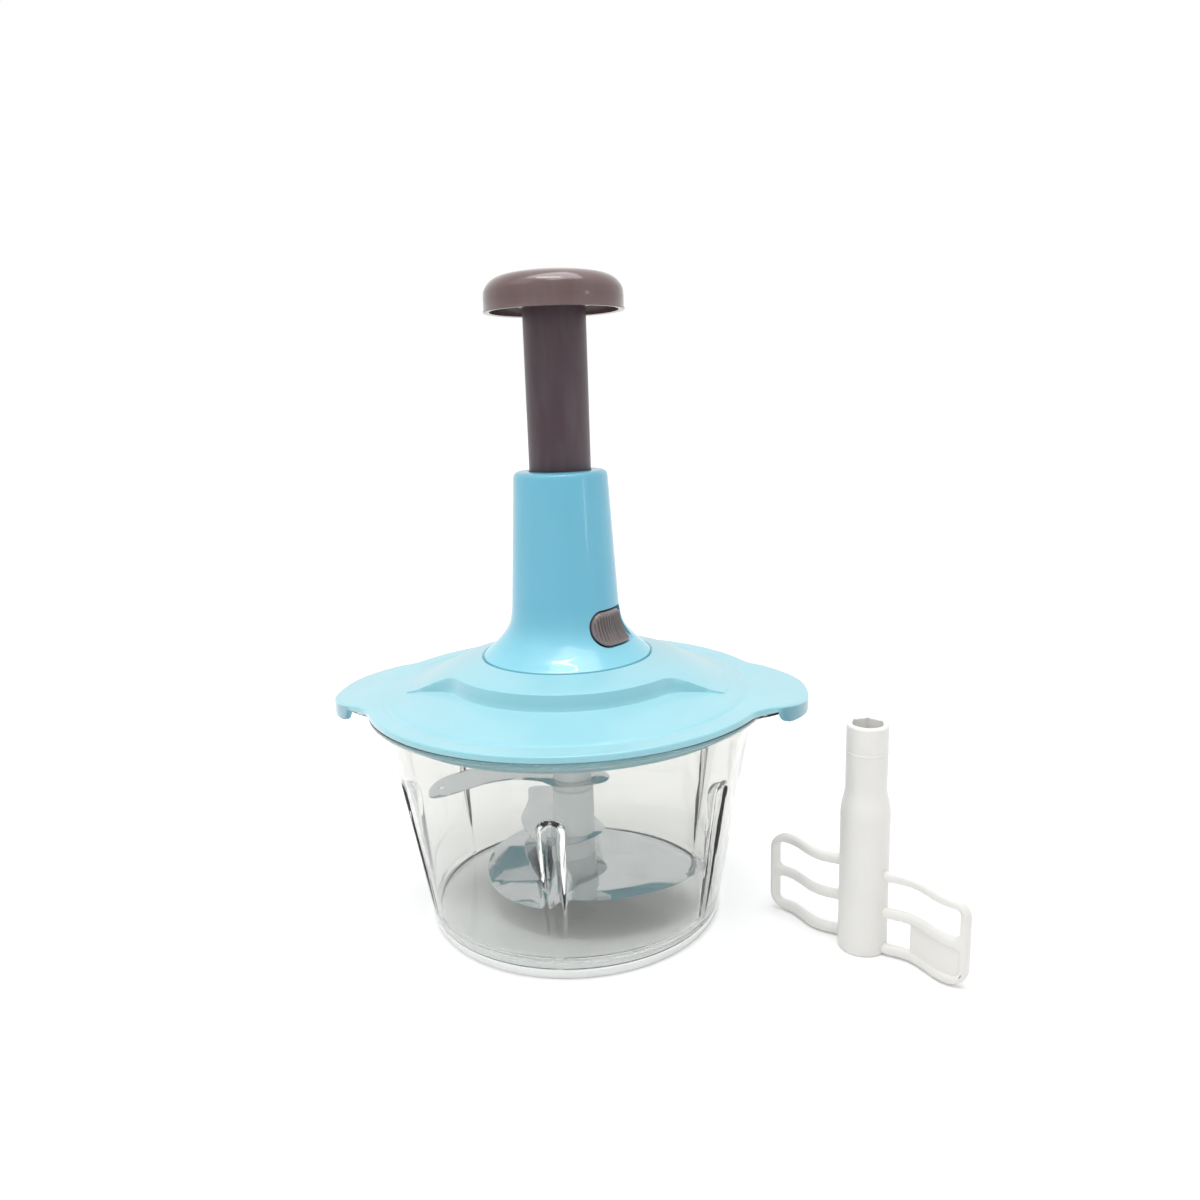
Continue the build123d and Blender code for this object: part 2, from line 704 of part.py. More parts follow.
def clutch_spring():
    return coil(clutch_spring_r, clutch_wire_r, nut_top, foot_floor - slide_gap, clutch_turns)


# ---------------------------------------------------------------- plunger
def stem_tube():
    tube = ring(stem_r - stem_wall, stem_r, stem_bottom, stem_top)
    return tube - cross_pin_hole()


def cross_pin_hole():
    return Pos(0, 0, pin_z) * Rot(90, 0, 0) * Cylinder(cross_pin_r, 4 * stem_r)


def stop_ring():
    body = ring(stem_r, stop_ring_r, stem_bottom, stop_top) - key_slots(slide_gap)
    width = pawl_w + 4 * slide_gap
    notch = Box(stem_r, width, 4 * stop_ring_h, align=(Align.MIN, Align.CENTER, Align.CENTER))
    return body - Rot(0, 0, lock_angle) * Pos(stem_r + 2 * slide_gap, 0, stem_bottom) * notch


def push_cap():
    side, top = cap_rim + cap_side_h, cap_rim + cap_h
    crown = top - cap_crown_rise
    outside = Line((cap_r, 0, cap_rim), (cap_r, 0, side))
    shoulder_z = side + (crown - side) * cap_shoulder_rise
    shoulder = [(cap_r, 0, side), (cap_shoulder_r, 0, shoulder_z), (cap_crown_r, 0, crown)]
    outside += Spline(shoulder, tangents=[(0, 0, 1), (-1, 0, 0.12)])
    outside += Polyline((cap_crown_r, 0, crown), (0, 0, top), (0, 0, cap_rim), (cap_r, 0, cap_rim))
    body = revolve(make_face(outside), Axis.Z)
    inner, hollow_top = cap_r - cap_wall, crown - cap_wall
    hollow = turned((0, cap_rim - past), (inner, cap_rim - past), (inner, side + past),
                    (cap_shoulder_r - cap_wall - past, hollow_top - cap_wall),
                    (cap_crown_r - cap_wall, hollow_top), (0, hollow_top))
    collar = ring(stem_r + run_gap, stem_r + run_gap + collar_wall, cap_rim + cap_wall, hollow_top + join)
    return body - hollow + collar


def strip_anchor():
    body = ring(0, stem_r - stem_wall, anchor_bottom, stem_top)
    body -= ring(0, strip_w / 2 + slot_gap, anchor_bottom - past, strip_top + slide_gap)
    return body - cross_pin_hole()


def drive_strip():
    return twisted(strip_w, strip_t, strip_bottom, strip_top) - cross_pin_hole()


def cross_pin():
    return Pos(0, 0, pin_z) * Rot(90, 0, 0) * Cylinder(cross_pin_r - run_gap / 5, 2 * stem_r)


# ---------------------------------------------------------------- lock
def lock_shell(inner, outer):
    """Space between two copies of the tower's surface."""
    return tower_solid(outer, foot_floor) - tower_solid(inner, foot_floor - past)


def lock_button():
    back = -tower_wall - slide_gap - slider_t
    key = lock_shell(back, button_proud) & radial_prism(lock_angle, button_face(0))
    plate = lock_shell(back, -tower_wall - slide_gap) & radial_prism(lock_angle, button_face(slider_border))
    pitch = button_w / (rib_count + 0.5)        # the last half leaves room at the round end
    ribs = Part()
    for i in range(rib_count):
        x = (i - (rib_count - 1) / 2) * pitch
        ribs += radial_prism(lock_angle, Pos(x, 0) * Rectangle(pitch / 2, button_h))
    ribs = lock_shell(0, button_proud + rib_proud) & ribs & radial_prism(lock_angle, button_face(-rib_inset))
    return key + plate + ribs


def lock_pawl():
    back = -tower_wall - slide_gap - slider_t
    bar = Box(tower_foot_r, pawl_w, pawl_t, align=(Align.MIN, Align.CENTER, Align.MIN))
    bar = Rot(0, 0, lock_angle) * Pos(0, 0, pawl_z) * bar
    return bar & tower_solid(back, foot_floor) - ring(0, stem_r + past, foot_floor, tower_top)


# ---------------------------------------------------------------- whisk
def wave(s):
    """Sideways swing of a paddle at a distance from the whisk's axis."""
    start = whisk_foot_r + wave_start
    return paddle_wave * sin(2 * pi * (s - start) / (paddle_reach - start)) if s > start else 0.0


def ribbon(thickness):
    """Upright wavy sheet that a paddle is cut from."""
    start = whisk_foot_r - wave_start
    steps = [start + (paddle_reach - start) * i / wave_point_count for i in range(wave_point_count + 1)]
    near, far = [[(s, wave(s) + side * thickness / 2) for s in steps] for side in (-1, 1)]
    edges = Spline(near) + Line(near[-1], far[-1]) + Spline(far) + Line(far[0], near[0])
    return extrude(Pos(0, 0, paddle_foot) * make_face(edges), paddle_h)


def window(start, end, low, high, corner):
    """Rounded window through a paddle."""
    face = Pos((start + end) / 2, (low + high) / 2) * RectangleRounded(end - start, high - low, corner)
    return extrude(Plane.XZ * face, 4 * paddle_wave + 2 * paddle_t, both=True)


def paddle(with_web):
    top = paddle_foot + paddle_h
    outline = window(0, paddle_reach, paddle_foot, top, bar_h)
    start, end = whisk_bore_r + past, paddle_reach - post_w
    middle = paddle_foot + paddle_h / 2
    body = ribbon(paddle_t) & outline
    body -= window(start, end, paddle_foot + bar_h, middle - bar_h / 2, bar_h / 2)
    body -= window(start, end, middle + bar_h / 2, top - bar_h, bar_h / 2)
    if with_web:
        body += ribbon(web_t) & window(web_start, end + past, paddle_foot + past, middle, past)
    return body


def whisk():
    shoulder = whisk_shoulder_z
    body = turned((0, 0), (whisk_foot_r - edge_round, 0), (whisk_foot_r, edge_round),
                  (whisk_foot_r, shoulder), (whisk_top_r, shoulder + whisk_shoulder_h),
                  (whisk_top_r, whisk_h - edge_round), (whisk_top_r - edge_round, whisk_h), (0, whisk_h))
    body += paddle(True) + Rot(0, 0, 180) * paddle(False)
    body -= ring(0, pin_r + run_gap, -past, hub_bush_h)
    body -= ring(0, whisk_bore_r, hub_bush_h + hub_web_t, whisk_h)
    body -= hexagon(hex_af + 2 * hex_gap, whisk_h - whisk_socket_depth, whisk_h + past)
    return Pos(whisk_x, whisk_y, 0) * Rot(0, 0, whisk_angle) * body


# ---------------------------------------------------------------- files
PIECES = [
    mixing_bowl, base_mat, pivot_pin,
    blade_hub, hub_bush, lower_blade, middle_blade, upper_blade,
    lid_shell, lid_gasket, bearing_plate, plate_screws, guide_screws, tower_screws,
    tower_housing, stem_bush, guide_tube, spring_seat, return_spring,
    drive_socket, ratchet_ring, drive_nut, clutch_spring,
    push_cap, stem_tube, stop_ring, strip_anchor, drive_strip, cross_pin,
    lock_button, lock_pawl,
    whisk,
]

if __name__ == "__main__":
    os.makedirs("parts", exist_ok=True)
    for make in PIECES:
        export_step(make(), f"parts/{make.__name__}.step")
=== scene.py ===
import json
from math import cos, hypot, pi, radians, sin, sqrt, tan

import bpy
from mathutils import Matrix, Vector


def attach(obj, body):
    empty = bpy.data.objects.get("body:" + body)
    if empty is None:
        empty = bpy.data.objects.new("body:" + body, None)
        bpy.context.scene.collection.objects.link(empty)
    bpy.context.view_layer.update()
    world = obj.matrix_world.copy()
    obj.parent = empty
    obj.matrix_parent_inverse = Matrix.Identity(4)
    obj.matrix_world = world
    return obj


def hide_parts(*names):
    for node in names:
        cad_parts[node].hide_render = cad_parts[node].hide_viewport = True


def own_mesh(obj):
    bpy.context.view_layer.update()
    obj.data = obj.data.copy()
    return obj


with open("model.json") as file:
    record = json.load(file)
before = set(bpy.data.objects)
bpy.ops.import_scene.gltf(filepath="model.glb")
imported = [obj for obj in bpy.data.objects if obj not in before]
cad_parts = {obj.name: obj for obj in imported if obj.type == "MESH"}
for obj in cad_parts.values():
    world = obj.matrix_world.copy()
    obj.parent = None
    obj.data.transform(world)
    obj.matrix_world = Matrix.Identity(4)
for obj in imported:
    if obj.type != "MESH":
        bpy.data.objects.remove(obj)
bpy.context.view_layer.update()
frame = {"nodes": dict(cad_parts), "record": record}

# Plunger food chopper. Pieces are modelled in millimetres and then brought to metres.
# +Z is up, the bowl stands at the origin, the ears lie on +X and -X, and the front is -Y.
# _R is a distance from the axis, _T a wall, and _LOW, _HIGH, _TOP and _Z are heights. _SOFT is the width over
# which two faces round into each other. A third number in a profile's corner is the size of its rounding.
MM = 0.001
MERGE = 0.0005      # vertices closer than this are made one
X, Y, Z = Vector((1, 0, 0)), Vector((0, 1, 0)), Vector((0, 0, 1))

# ---- sizes: mat and bowl
MAT_R, MAT_T = 65.6, 3.0
BOND, LIP_GAP = 0.05, 0.25      # how far the mat runs into the bowl, and its lip stays below the wall
FOOT_R, LIP_TOP = 64.3, 4.8
WALL_FOOT_R, WALL_SLOPE, WALL_T = 67.1, 0.17, 2.5
FLOOR_TOP, FLOOR_CORNER = 5.8, 5.0
CORNER_OUT, CORNER_FLAT = 0.5, 0.8      # how far the floor's round corner lies out, and its flattening
RIM_TOP = 103.0
FLANGE_R, FLANGE_T = 89.6, 2.4
LUG_INSET, LUG_SOFT = 3.9, 1.5
BOSS_R, BOSS_TOP, BOSS_BORE_R, BOSS_FOOT_R = 6.0, 9.0, 3.0, 7.2

# A flute is pressed into the wall from outside: a groove there and a ridge inside, both with round crests.
FLUTES = [31.5 + 60 * i for i in range(6)]
FLUTE_R, FLUTE_CREST, FLUTE_SOFT = 4.7, 66.0, 1.2
GROOVE_R, GROOVE_CREST, GROOVE_SOFT = 2.7, 69.0, 2.0
FLUTE_START, FLUTE_TOP, FLUTE_LEAN = 13.0, 75.0, 0.08
FLUTE_BEND, FLUTE_DRAFT = 72, 76        # degrees to which a flute's face is round, and at which it runs on

# Degrees between the profiles that the bowl and the lid are drawn through, and how far the fine ones reach.
FINE_STEP, WIDE_STEP = 0.4, 1.5
FLUTE_SPAN, EAR_SPAN, EAR_MIDDLE = 8, 22, 8

# ---- sizes: lid
LID_R, LID_SEAT, LID_TOP, LID_WALL = 90.0, 103.2, 106.0, 2.4
RIM_ROUND = 0.65
CROWN_Z = 122.0
SEAT_R, SEAT_Z = 38.0, 119.5
KNEE_R, KNEE_Z, KNEE_SOFT = 52.5, 118.2, 1.6
FLANK_FALL = 0.574
SHELF_R, SHELF_Z, SHELF_FALL, SHELF_SOFT = 70.0, 108.5, 0.13, 2.0
DOME_FOOT_R, DOME_FOOT_RISE, DOME_EDGE_SOFT, DOME_FOOT_SOFT = 80.3, 0.9, 0.9, 0.4
SHELF_END, RING_START = DOME_FOOT_R - 3.6, DOME_FOOT_R + 1.4

# The crescent at the front: its floor falls outward, and its wall swings out to the tips at both ends.
RECESS_Z, RECESS_FALL, RECESS_STEEP = 110.9, 0.17, 8.0
RECESS_WALL_R, RECESS_END_R = 54.0, 72.0
RECESS_TURN, RECESS_TIP, RECESS_SWING = 52.0, 75.0, 2.6
RECESS_FOOT_SOFT, RECESS_EDGE_SOFT = 1.4, 1.8
# Where the top face is drawn near that wall, as distances from it.
WALL_STEPS = (-3.2, -2.5, -1.9, -1.4, -1.0, -0.6, -0.3, 0.0, 0.3, 0.7, 1.1, 1.7, 2.5, 3.5)

PLUG_R, PLUG_IN_R, PLUG_LOW = 79.3, 76.0, 95.5
GROOVE_LOW, GROOVE_HIGH, GROOVE_D = 97.0, 99.6, 1.8
GASKET_R, GASKET_LIP = 80.45, 0.9
WELL_R, WELL_OUT_R, WELL_LOW = 18.5, 20.5, 101.5

# Half of an ear's outline, as (degrees from its middle, distance from the axis). A skirt hangs under it.
EAR_SIDE = ((0, 107.0), (7, 106.4), (12, 103.6), (16.5, 99.0), (21, 93.2), (27, 87.8), (34, 85.0))
EAR_SOFT = 2.0
EAR_FALL, EAR_BEND_X = tan(radians(7)), 88.0
SKIRT_X, SKIRT_LOW, SKIRT_ROUND = 94.2, 97.6, 4.2
SKIRT_T, SKIRT_SIDE, SKIRT_END, SKIRT_LIP = 2.2, 0.3, 1.2, 0.35

# ---- sizes: tower and lock
TOWER_FOOT_R = 37.4
TOWER_FLARE = ((37.4, 122.0), (36.7, 122.6), (34.6, 124.6), (31.2, 127.8), (27.4, 132.2), (25.0, 137.0),
               (23.8, 144.0))
TOWER_TOP_R, TOWER_TOP, TOWER_WALL, TOWER_EDGE = 20.4, 203.0, 2.4, 3.0
MOUTH_R, MOUTH_DEEP = 13.75, 2.2

LOCK_ANGLE, LOCK_TURN, LOCK_Z, SLOT_GAP = -35.5, 11.0, 136.2, 0.8
BUTTON_W, BUTTON_H, BUTTON_PROUD = 19.8, 13.6, 1.3
BUTTON_LEFT, BUTTON_RIGHT = 0.96, 0.3       # corner radius at each end, as a share of half the height
BUTTON_EDGE, EDGE_DROP = 1.1, 0.75      # width and depth of the rounding along the button's edge
BUTTON_SKIRT = 1.6      # how far the button's side runs in beyond the tower's wall
RIBS, RIB_MARGIN, RIB_PROUD, RIB_SINK, RIB_INSET, RIB_FADE = 11, 2.4, 0.9, 0.15, 0.9, 0.7
SLIDER_GROW = 3
# How far beyond the tower's face each ring of the slot's block and of the slider lies.
SLOT_LAYERS, SLIDER_LAYERS = (-TOWER_WALL - 3, -1, 4), (-TOWER_WALL - 1.9, -TOWER_WALL - 0.35)
BUTTON_COLUMNS, BUTTON_ROWS, BUTTON_CROWDING = 165, 22, 0.35

# ---- sizes: plunger and spring
STEM_R, STEM_T, STEM_LOW, STEM_MIDDLE, STEM_TOP = 13.4, 2.0, 192.0, 230.0, 279.0
CAP_R, CAP_RIM, CAP_SIDE, CAP_TOP, CAP_WALL = 29.4, 269.0, 275.0, 285.5, 2.2
CAP_LIP = ((-0.4, 0), (0.2, 0.08), (0.38, 0.4), (0.28, 0.85), (0, 1.3))     # (out from the side, up)
CAP_SHOULDER = ((29.0, 277.9), (27.3, 280.6), (24.6, 282.6), (21.0, 283.8), (14.0, 284.9), (7.0, 285.4))
CAP_CEILING = ((STEM_R + 1.9, 280.9), (19.5, 280.6), (23.6, 279.3), (26.0, 276.9), (CAP_R - CAP_WALL, 274.4))
SOCKET_GAP, SOCKET_OUT, SOCKET_TOP, SOCKET_LOW = 0.1, 1.7, 281.3, CAP_RIM + 2.4
SPRING_R, WIRE_R, SPRING_LOW, SPRING_TOP, SPRING_TURNS = 8.7, 0.6, 122.7, 267.99, 20
TURN_STEPS, WIRE_SIDES = 24, 8

# ---- sizes: hub and blades
HUB_FOOT, HUB_STEP, HUB_TOP = 20.0, 58.0, 97.0
HUB_FOOT_R, HUB_TOP_R, HUB_BORE_R = 9.6, 8.9, 5.7
HUB_WEB_LOW, HUB_WEB_TOP, HUB_SOCKET_R = 30.2, 33.2, 5.0
BLADE_T = 1.2
BLADE_Z = (24.2, 35.0, 61.4)
BLADE_REACH = (61.5, 58.0, 65.3)
BLADE_TURNS = (     # each blade's outline, as (degrees, share of its reach)
    ((350, 1), (358, 0.846), (8, 0.715), (35, 0.545), (77, 0.439), (112, 0.504), (140, 0.602), (190, 0.667),
     (235, 0.691), (280, 0.748), (310, 0.829), (332, 0.927)),
    ((121, 1), (106, 0.897), (94, 0.621), (60, 0.293), (0, 0.241), (270, 0.259), (212, 0.345), (160, 0.5),
     (130, 0.759)),
    ((204, 1), (201, 0.803), (193, 0.621), (189, 0.424), (200, 0.242), (250, 0.197), (330, 0.227), (0, 0.265),
     (30, 0.242), (90, 0.303), (140, 0.485), (165, 0.712), (180, 0.909), (192, 1)),
)
BLADE_GRIND, GRIND_END = (6.5, 4.5, 4.0), 0.8       # width of each ground face, and of the step at its end
GRIND_STOP_R, GRIND_SQUEEZE = 9.0, 0.3      # a layer keeps this radius and this share of what lies beyond
BLADE_LAYERS = ((0.12, 0.3), (0.3, 0.0), (0.45, 0.25))      # (height, inset) of the rounded edge
BLADE_EYE_R, DRILL_DEPTH, DRILL_SIDES = 7.2, 24.0, 48
BLADE_HOLE_R, BLADE_HOLE_ANGLE, BLADE_HOLE_AT = 1.6, 196.0, 60.3
# The low blade's dish: its start and reach towards -Y, its side and reach towards -X, its drop.
DISH_START, DISH_DEEP, DISH_SIDE, DISH_WIDE, DISH_DROP, DISH_SLICES = -4.0, 26.0, 6.0, 18.0, 6.5, 12

# ---- sizes: whisk
WHISK_X, WHISK_Y, WHISK_TURN = 127.6, -33.5, -39.5
WHISK_FOOT_R, WHISK_TOP_R, WHISK_H = 10.2, 8.5, 100.0
WHISK_SHOULDER = ((WHISK_FOOT_R, 57.5), (WHISK_FOOT_R, 61.5), (9.8, 65.2), (8.9, 69.4), (WHISK_TOP_R, 73.0),
                  (WHISK_TOP_R, 80.0))
SEAM_R = WHISK_TOP_R + 0.12
WHISK_SEAM = ((WHISK_TOP_R, 87.6), (SEAM_R, 87.75), (SEAM_R, 88.4), (WHISK_TOP_R, 88.55))
WHISK_BORE_R, WHISK_MOUTH_R, WHISK_FLOOR, WHISK_PIN_R, WHISK_PIN_TOP = 6.0, 6.2, 13.0, 2.1, 10.0
HEX_AF, HEX_DEPTH, HEX_PAST = 11.8, 15.0, 4.0       # across flats, depth, and length of the tool beyond it
PADDLE_START, PADDLE_REACH, PADDLE_LOW, PADDLE_TOP, PADDLE_T = 7.0, 47.0, 0.5, 38.0, 3.9
BAR_H, BAR_SOFT, POST_W, PADDLE_CORNER = 4.5, 1.75, 3.6, 7.5
WAVE, WAVE_START = 2.1, 12.2
WEB_T, WEB_START, WEB_SOFT, WEB_OVERLAP = 2.0, 21.0, 0.9, 1.5


# ---- curves
def smooth_min(a, b, soft):
    """The lesser of two values, rounded over where they meet."""
    h = max(soft - abs(a - b), 0) / soft
    return min(a, b) - h * h * soft / 4


def smooth_max(a, b, soft):
    return -smooth_min(-a, -b, soft)


def spline(a, b, c, d, t):
    """Point between b and c on a smooth curve through a, b, c and d."""
    return (b * 2 + (c - a) * t + (a * 2 - b * 5 + c * 4 - d) * t ** 2 + (b * 3 - a - c * 3 + d) * t ** 3) / 2


def through(points, steps, closed=False):
    """Smooth curve through points of any dimension."""
    points = [Vector(p) for p in points]
    count = len(points)
    curve = []
    for i in range(count if closed else count - 1):
        if closed:
            a, b, c, d = (points[(i + k) % count] for k in (-1, 0, 1, 2))
        else:
            b, c = points[i], points[i + 1]
            a = points[i - 1] if i else b * 2 - c
            d = points[i + 2] if i + 2 < count else c * 2 - b
        curve += [spline(a, b, c, d, k / steps) for k in range(steps)]
    return [tuple(p) for p in (curve if closed else curve + [points[-1]])]


def rounded(corners, steps=4):
    """Profile with each (r, z, trim) corner turned into a small arc."""
    out = []
    for i, (r, z, *trim) in enumerate(corners):
        if not trim:
            out.append((r, z))
            continue
        here = Vector((r, z))
        start = here + (Vector(corners[i - 1][:2]) - here).normalized() * trim[0]
        end = here + (Vector(corners[(i + 1) % len(corners)][:2]) - here).normalized() * trim[0]
        for k in range(steps + 1):
            t = k / steps
            out.append(tuple(start * (1 - t) ** 2 + here * (2 * t * (1 - t)) + end * t * t))
    return out


def polar(r, angle):
    return r * cos(radians(angle)), r * sin(radians(angle))


def clamp(value):
    return min(max(value, 0), 1)


def spaced(start, stop, count):
    """Evenly spaced values from start to stop, both included."""
    return [start + (stop - start) * i / count for i in range(count + 1)]


def rings_round(angles, sections):
    """Turns the profiles at a set of angles into rings that run round the axis."""
    return [[(*polar(section[i][0], angle), section[i][1]) for angle, section in zip(angles, sections)]
            for i in range(len(sections[0]))]


# ---- modelling
def only(piece):
    """Selects one piece and nothing else."""
    bpy.ops.object.select_all(action="DESELECT")
    piece.select_set(True)
    bpy.context.view_layer.objects.active = piece


def edit(piece):
    """Opens a piece for editing with all of it selected."""
    only(piece)
    bpy.ops.object.mode_set(mode="EDIT")
    bpy.ops.mesh.select_all(action="SELECT")


def leave():
    bpy.ops.object.mode_set(mode="OBJECT")


def primitive(name, kind, location=(0, 0, 0), **settings):
    """Adds a primitive with settings and names it."""
    bpy.ops.object.select_all(action="DESELECT")
    getattr(bpy.ops.mesh, f"primitive_{kind}_add")(location=location, **settings)
    piece = bpy.context.object
    piece.name = piece.data.name = name
    return piece


def ring_of(name, sides, radius, height):
    """A ring of edges, open for editing and selected."""
    piece = primitive(name, "circle", vertices=sides, radius=radius)
    edit(piece)
    bpy.ops.transform.translate(value=(0, 0, height))
    return piece


def raise_ring(height):
    bpy.ops.mesh.extrude_region_move(TRANSFORM_OT_translate={"value": (0, 0, height)})


def clean(piece):
    """Merges doubled vertices and points the faces outwards."""
    edit(piece)
    bpy.ops.mesh.remove_doubles(threshold=MERGE)
    bpy.ops.mesh.normals_make_consistent(inside=False)
    leave()
    return piece


def pick(piece, test, mode="VERT"):
    """Selects the vertices, edges or faces that pass a test, and opens the piece for editing."""
    only(piece)
    bpy.ops.object.mode_set(mode="EDIT")
    bpy.ops.mesh.select_mode(type=mode)
    bpy.ops.mesh.select_all(action="DESELECT")
    leave()
    parts = {"VERT": piece.data.vertices, "EDGE": piece.data.edges, "FACE": piece.data.polygons}[mode]
    for part in parts:
        part.select = test(part)
    bpy.ops.object.mode_set(mode="EDIT")


def turned(name, corners, sides):
    """Piece of revolution from (radius, height) corners: a ring is raised and resized for each."""
    first, last = corners[0][0] == 0, corners[-1][0] == 0
    body = corners[1 if first else 0:len(corners) - (1 if last else 0)]
    piece = ring_of(name, sides, body[0][0], body[0][1])
    for (r, z), (next_r, next_z) in zip(body, body[1:]):
        raise_ring(next_z - z)
        bpy.ops.transform.resize(value=(next_r / r, next_r / r, 1), center_override=(0, 0, 0))
    if last:
        raise_ring(corners[-1][1] - body[-1][1])
        bpy.ops.mesh.merge(type="CENTER")
    if first:
        leave()
        pick(piece, lambda v: v.index < sides)
        raise_ring(corners[0][1] - body[0][1])
        bpy.ops.mesh.merge(type="CENTER")
    leave()
    return clean(piece)


def lofted(name, rings, closed=False):
    """Skin through rings of points: a ring is raised once for each, and every vertex goes to its place."""
    sides = len(rings[0])
    piece = ring_of(name, sides, 1, 0)
    for i in range(len(rings) - 1):
        raise_ring(1)
    if not closed:
        bpy.ops.mesh.edge_face_add()
    leave()
    for vertex, place in zip(piece.data.vertices, (point for ring in rings for point in ring)):
        vertex.co = place
    if not closed:
        pick(piece, lambda v: v.index < sides)
        bpy.ops.mesh.edge_face_add()
        leave()
    return clean(piece)


def apply(piece, kind, **settings):
    """Adds a modifier with settings and applies it."""
    only(piece)
    modifier = piece.modifiers.new(kind.lower(), kind)
    for name, value in settings.items():
        setattr(modifier, name, value)
    bpy.ops.object.modifier_apply(modifier=modifier.name)


def cut(piece, tool):
    """Takes one closed piece out of another."""
    apply(piece, "BOOLEAN", operation="DIFFERENCE", object=tool, solver="EXACT")
    bpy.data.objects.remove(tool)


def settle(piece):
    """Gives a piece's turn and place to its vertices."""
    only(piece)
    bpy.ops.object.transform_apply()


def drill(piece, sides, radius, depth, place, turn=0.0):
    """Drills an upright hole, round or many-sided, round a place in the middle of its depth."""
    tool = primitive("drill", "cylinder", place, vertices=sides, radius=radius, depth=depth,
                     rotation=(0, 0, turn))
    settle(tool)
    cut(piece, tool)


def slice_across(piece, places, axis):
    """Cuts a piece's faces right across at each place along an axis."""
    edit(piece)
    for place in places:
        bpy.ops.mesh.select_all(action="SELECT")
        bpy.ops.mesh.bisect(plane_co=axis * place, plane_no=axis)
    leave()


def joined(piece, *others):
    only(piece)
    for other in others:
        other.select_set(True)
    bpy.ops.object.join()
    return piece


def finish_piece(piece, body, slot, *nodes, look=None, smooth=32):
    """Brings a piece to metres, shades it, dresses it and puts it on its body."""
    piece.data.transform(Matrix.Scale(MM, 4))
    only(piece)
    bpy.ops.object.shade_smooth_by_angle(angle=radians(smooth))
    piece.data.materials.clear()
    piece.data.materials.append(look or LOOKS[slot])
    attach(piece, body)
    if nodes:
        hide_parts(*nodes)


# ---- shader groups
# Sizes of the noises, in waves per metre.
DRIFT, PEEL, GRAIN, FLOW = 28, 260, 700, (60, 60, 12)
SCRATCH_WAYS = (((30, 700, 700), (0.3, 0.2, 0.5)), ((600, 26, 600), (0.1, 0.5, 1.1)))    # (scale, turn)
PATCHES = 35
GRINDING, GRINDING_TURN, CLOUDS = (900, 60, 900), (0, 0, 0.6), 55
GREY_STEEL = (0.3, 0.31, 0.33, 1)
BLACK, WHITE = (0, 0, 0, 1), (1, 1, 1, 1)
SMOOTHEST = 0.02


def feed(node, values):
    """Sets a node's inputs, or links them where a value comes from another node."""
    for key, value in values.items():
        if isinstance(value, bpy.types.NodeSocket):
            node.id_data.links.new(value, node.inputs[key])
        else:
            node.inputs[key].default_value = value


def chain(tree, kind, inputs, **settings):
    """Adds a node, sets its properties and feeds its inputs."""
    node = tree.nodes.new(kind)
    for name, value in settings.items():
        setattr(node, name, value)
    feed(node, inputs)
    return node


def maths(tree, operation, a, b=0.0):
    return chain(tree, "ShaderNodeMath", {0: a, 1: b}, operation=operation).outputs[0]


def times(tree, a, b):
    return maths(tree, "MULTIPLY", a, b)


def plus(tree, a, b):
    return maths(tree, "ADD", a, b)


def spread(tree, value, low, high, new_low=0.0, new_high=1.0):
    """Maps a range to another, clamped."""
    node = chain(tree, "ShaderNodeMapRange", {"Value": value, "From Min": low, "From Max": high,
                                              "To Min": new_low, "To Max": new_high})
    return node.outputs["Result"]


def blend_colour(tree, factor, a, b):
    return chain(tree, "ShaderNodeMix", {0: factor, 6: a, 7: b}, data_type="RGBA").outputs[2]


def placed(tree, scale=(1, 1, 1), turn=(0, 0, 0)):
    """Object coordinates, turned and scaled."""
    coordinates = tree.nodes.new("ShaderNodeTexCoord").outputs["Object"]
    return chain(tree, "ShaderNodeMapping",
                 {"Vector": coordinates, "Scale": scale, "Rotation": turn}).outputs[0]


def axes(tree, place):
    """The x, y and z of a vector."""
    return chain(tree, "ShaderNodeSeparateXYZ", {0: place}).outputs


def noise(tree, place, scale, detail, rough=0.5):
    node = chain(tree, "ShaderNodeTexNoise", {"Vector": place, "Scale": scale, "Detail": detail,
                                              "Roughness": rough})
    return node.outputs["Fac"]


def group_tree(name, inputs, outputs):
    """Empty shader group with named outputs, and inputs that each have a usual value."""
    tree = bpy.data.node_groups.new(name, "ShaderNodeTree")
    for way, labels in (("INPUT", inputs), ("OUTPUT", outputs)):
        for label in labels:
            kind = "NodeSocketColor" if label == "Colour" else "NodeSocketFloat"
            made = tree.interface.new_socket(label, in_out=way, socket_type=kind)
            if way == "INPUT":
                made.default_value = inputs[label]
    given = tree.nodes.new("NodeGroupInput")
    taken = tree.nodes.new("NodeGroupOutput")
    return tree, given.outputs, taken


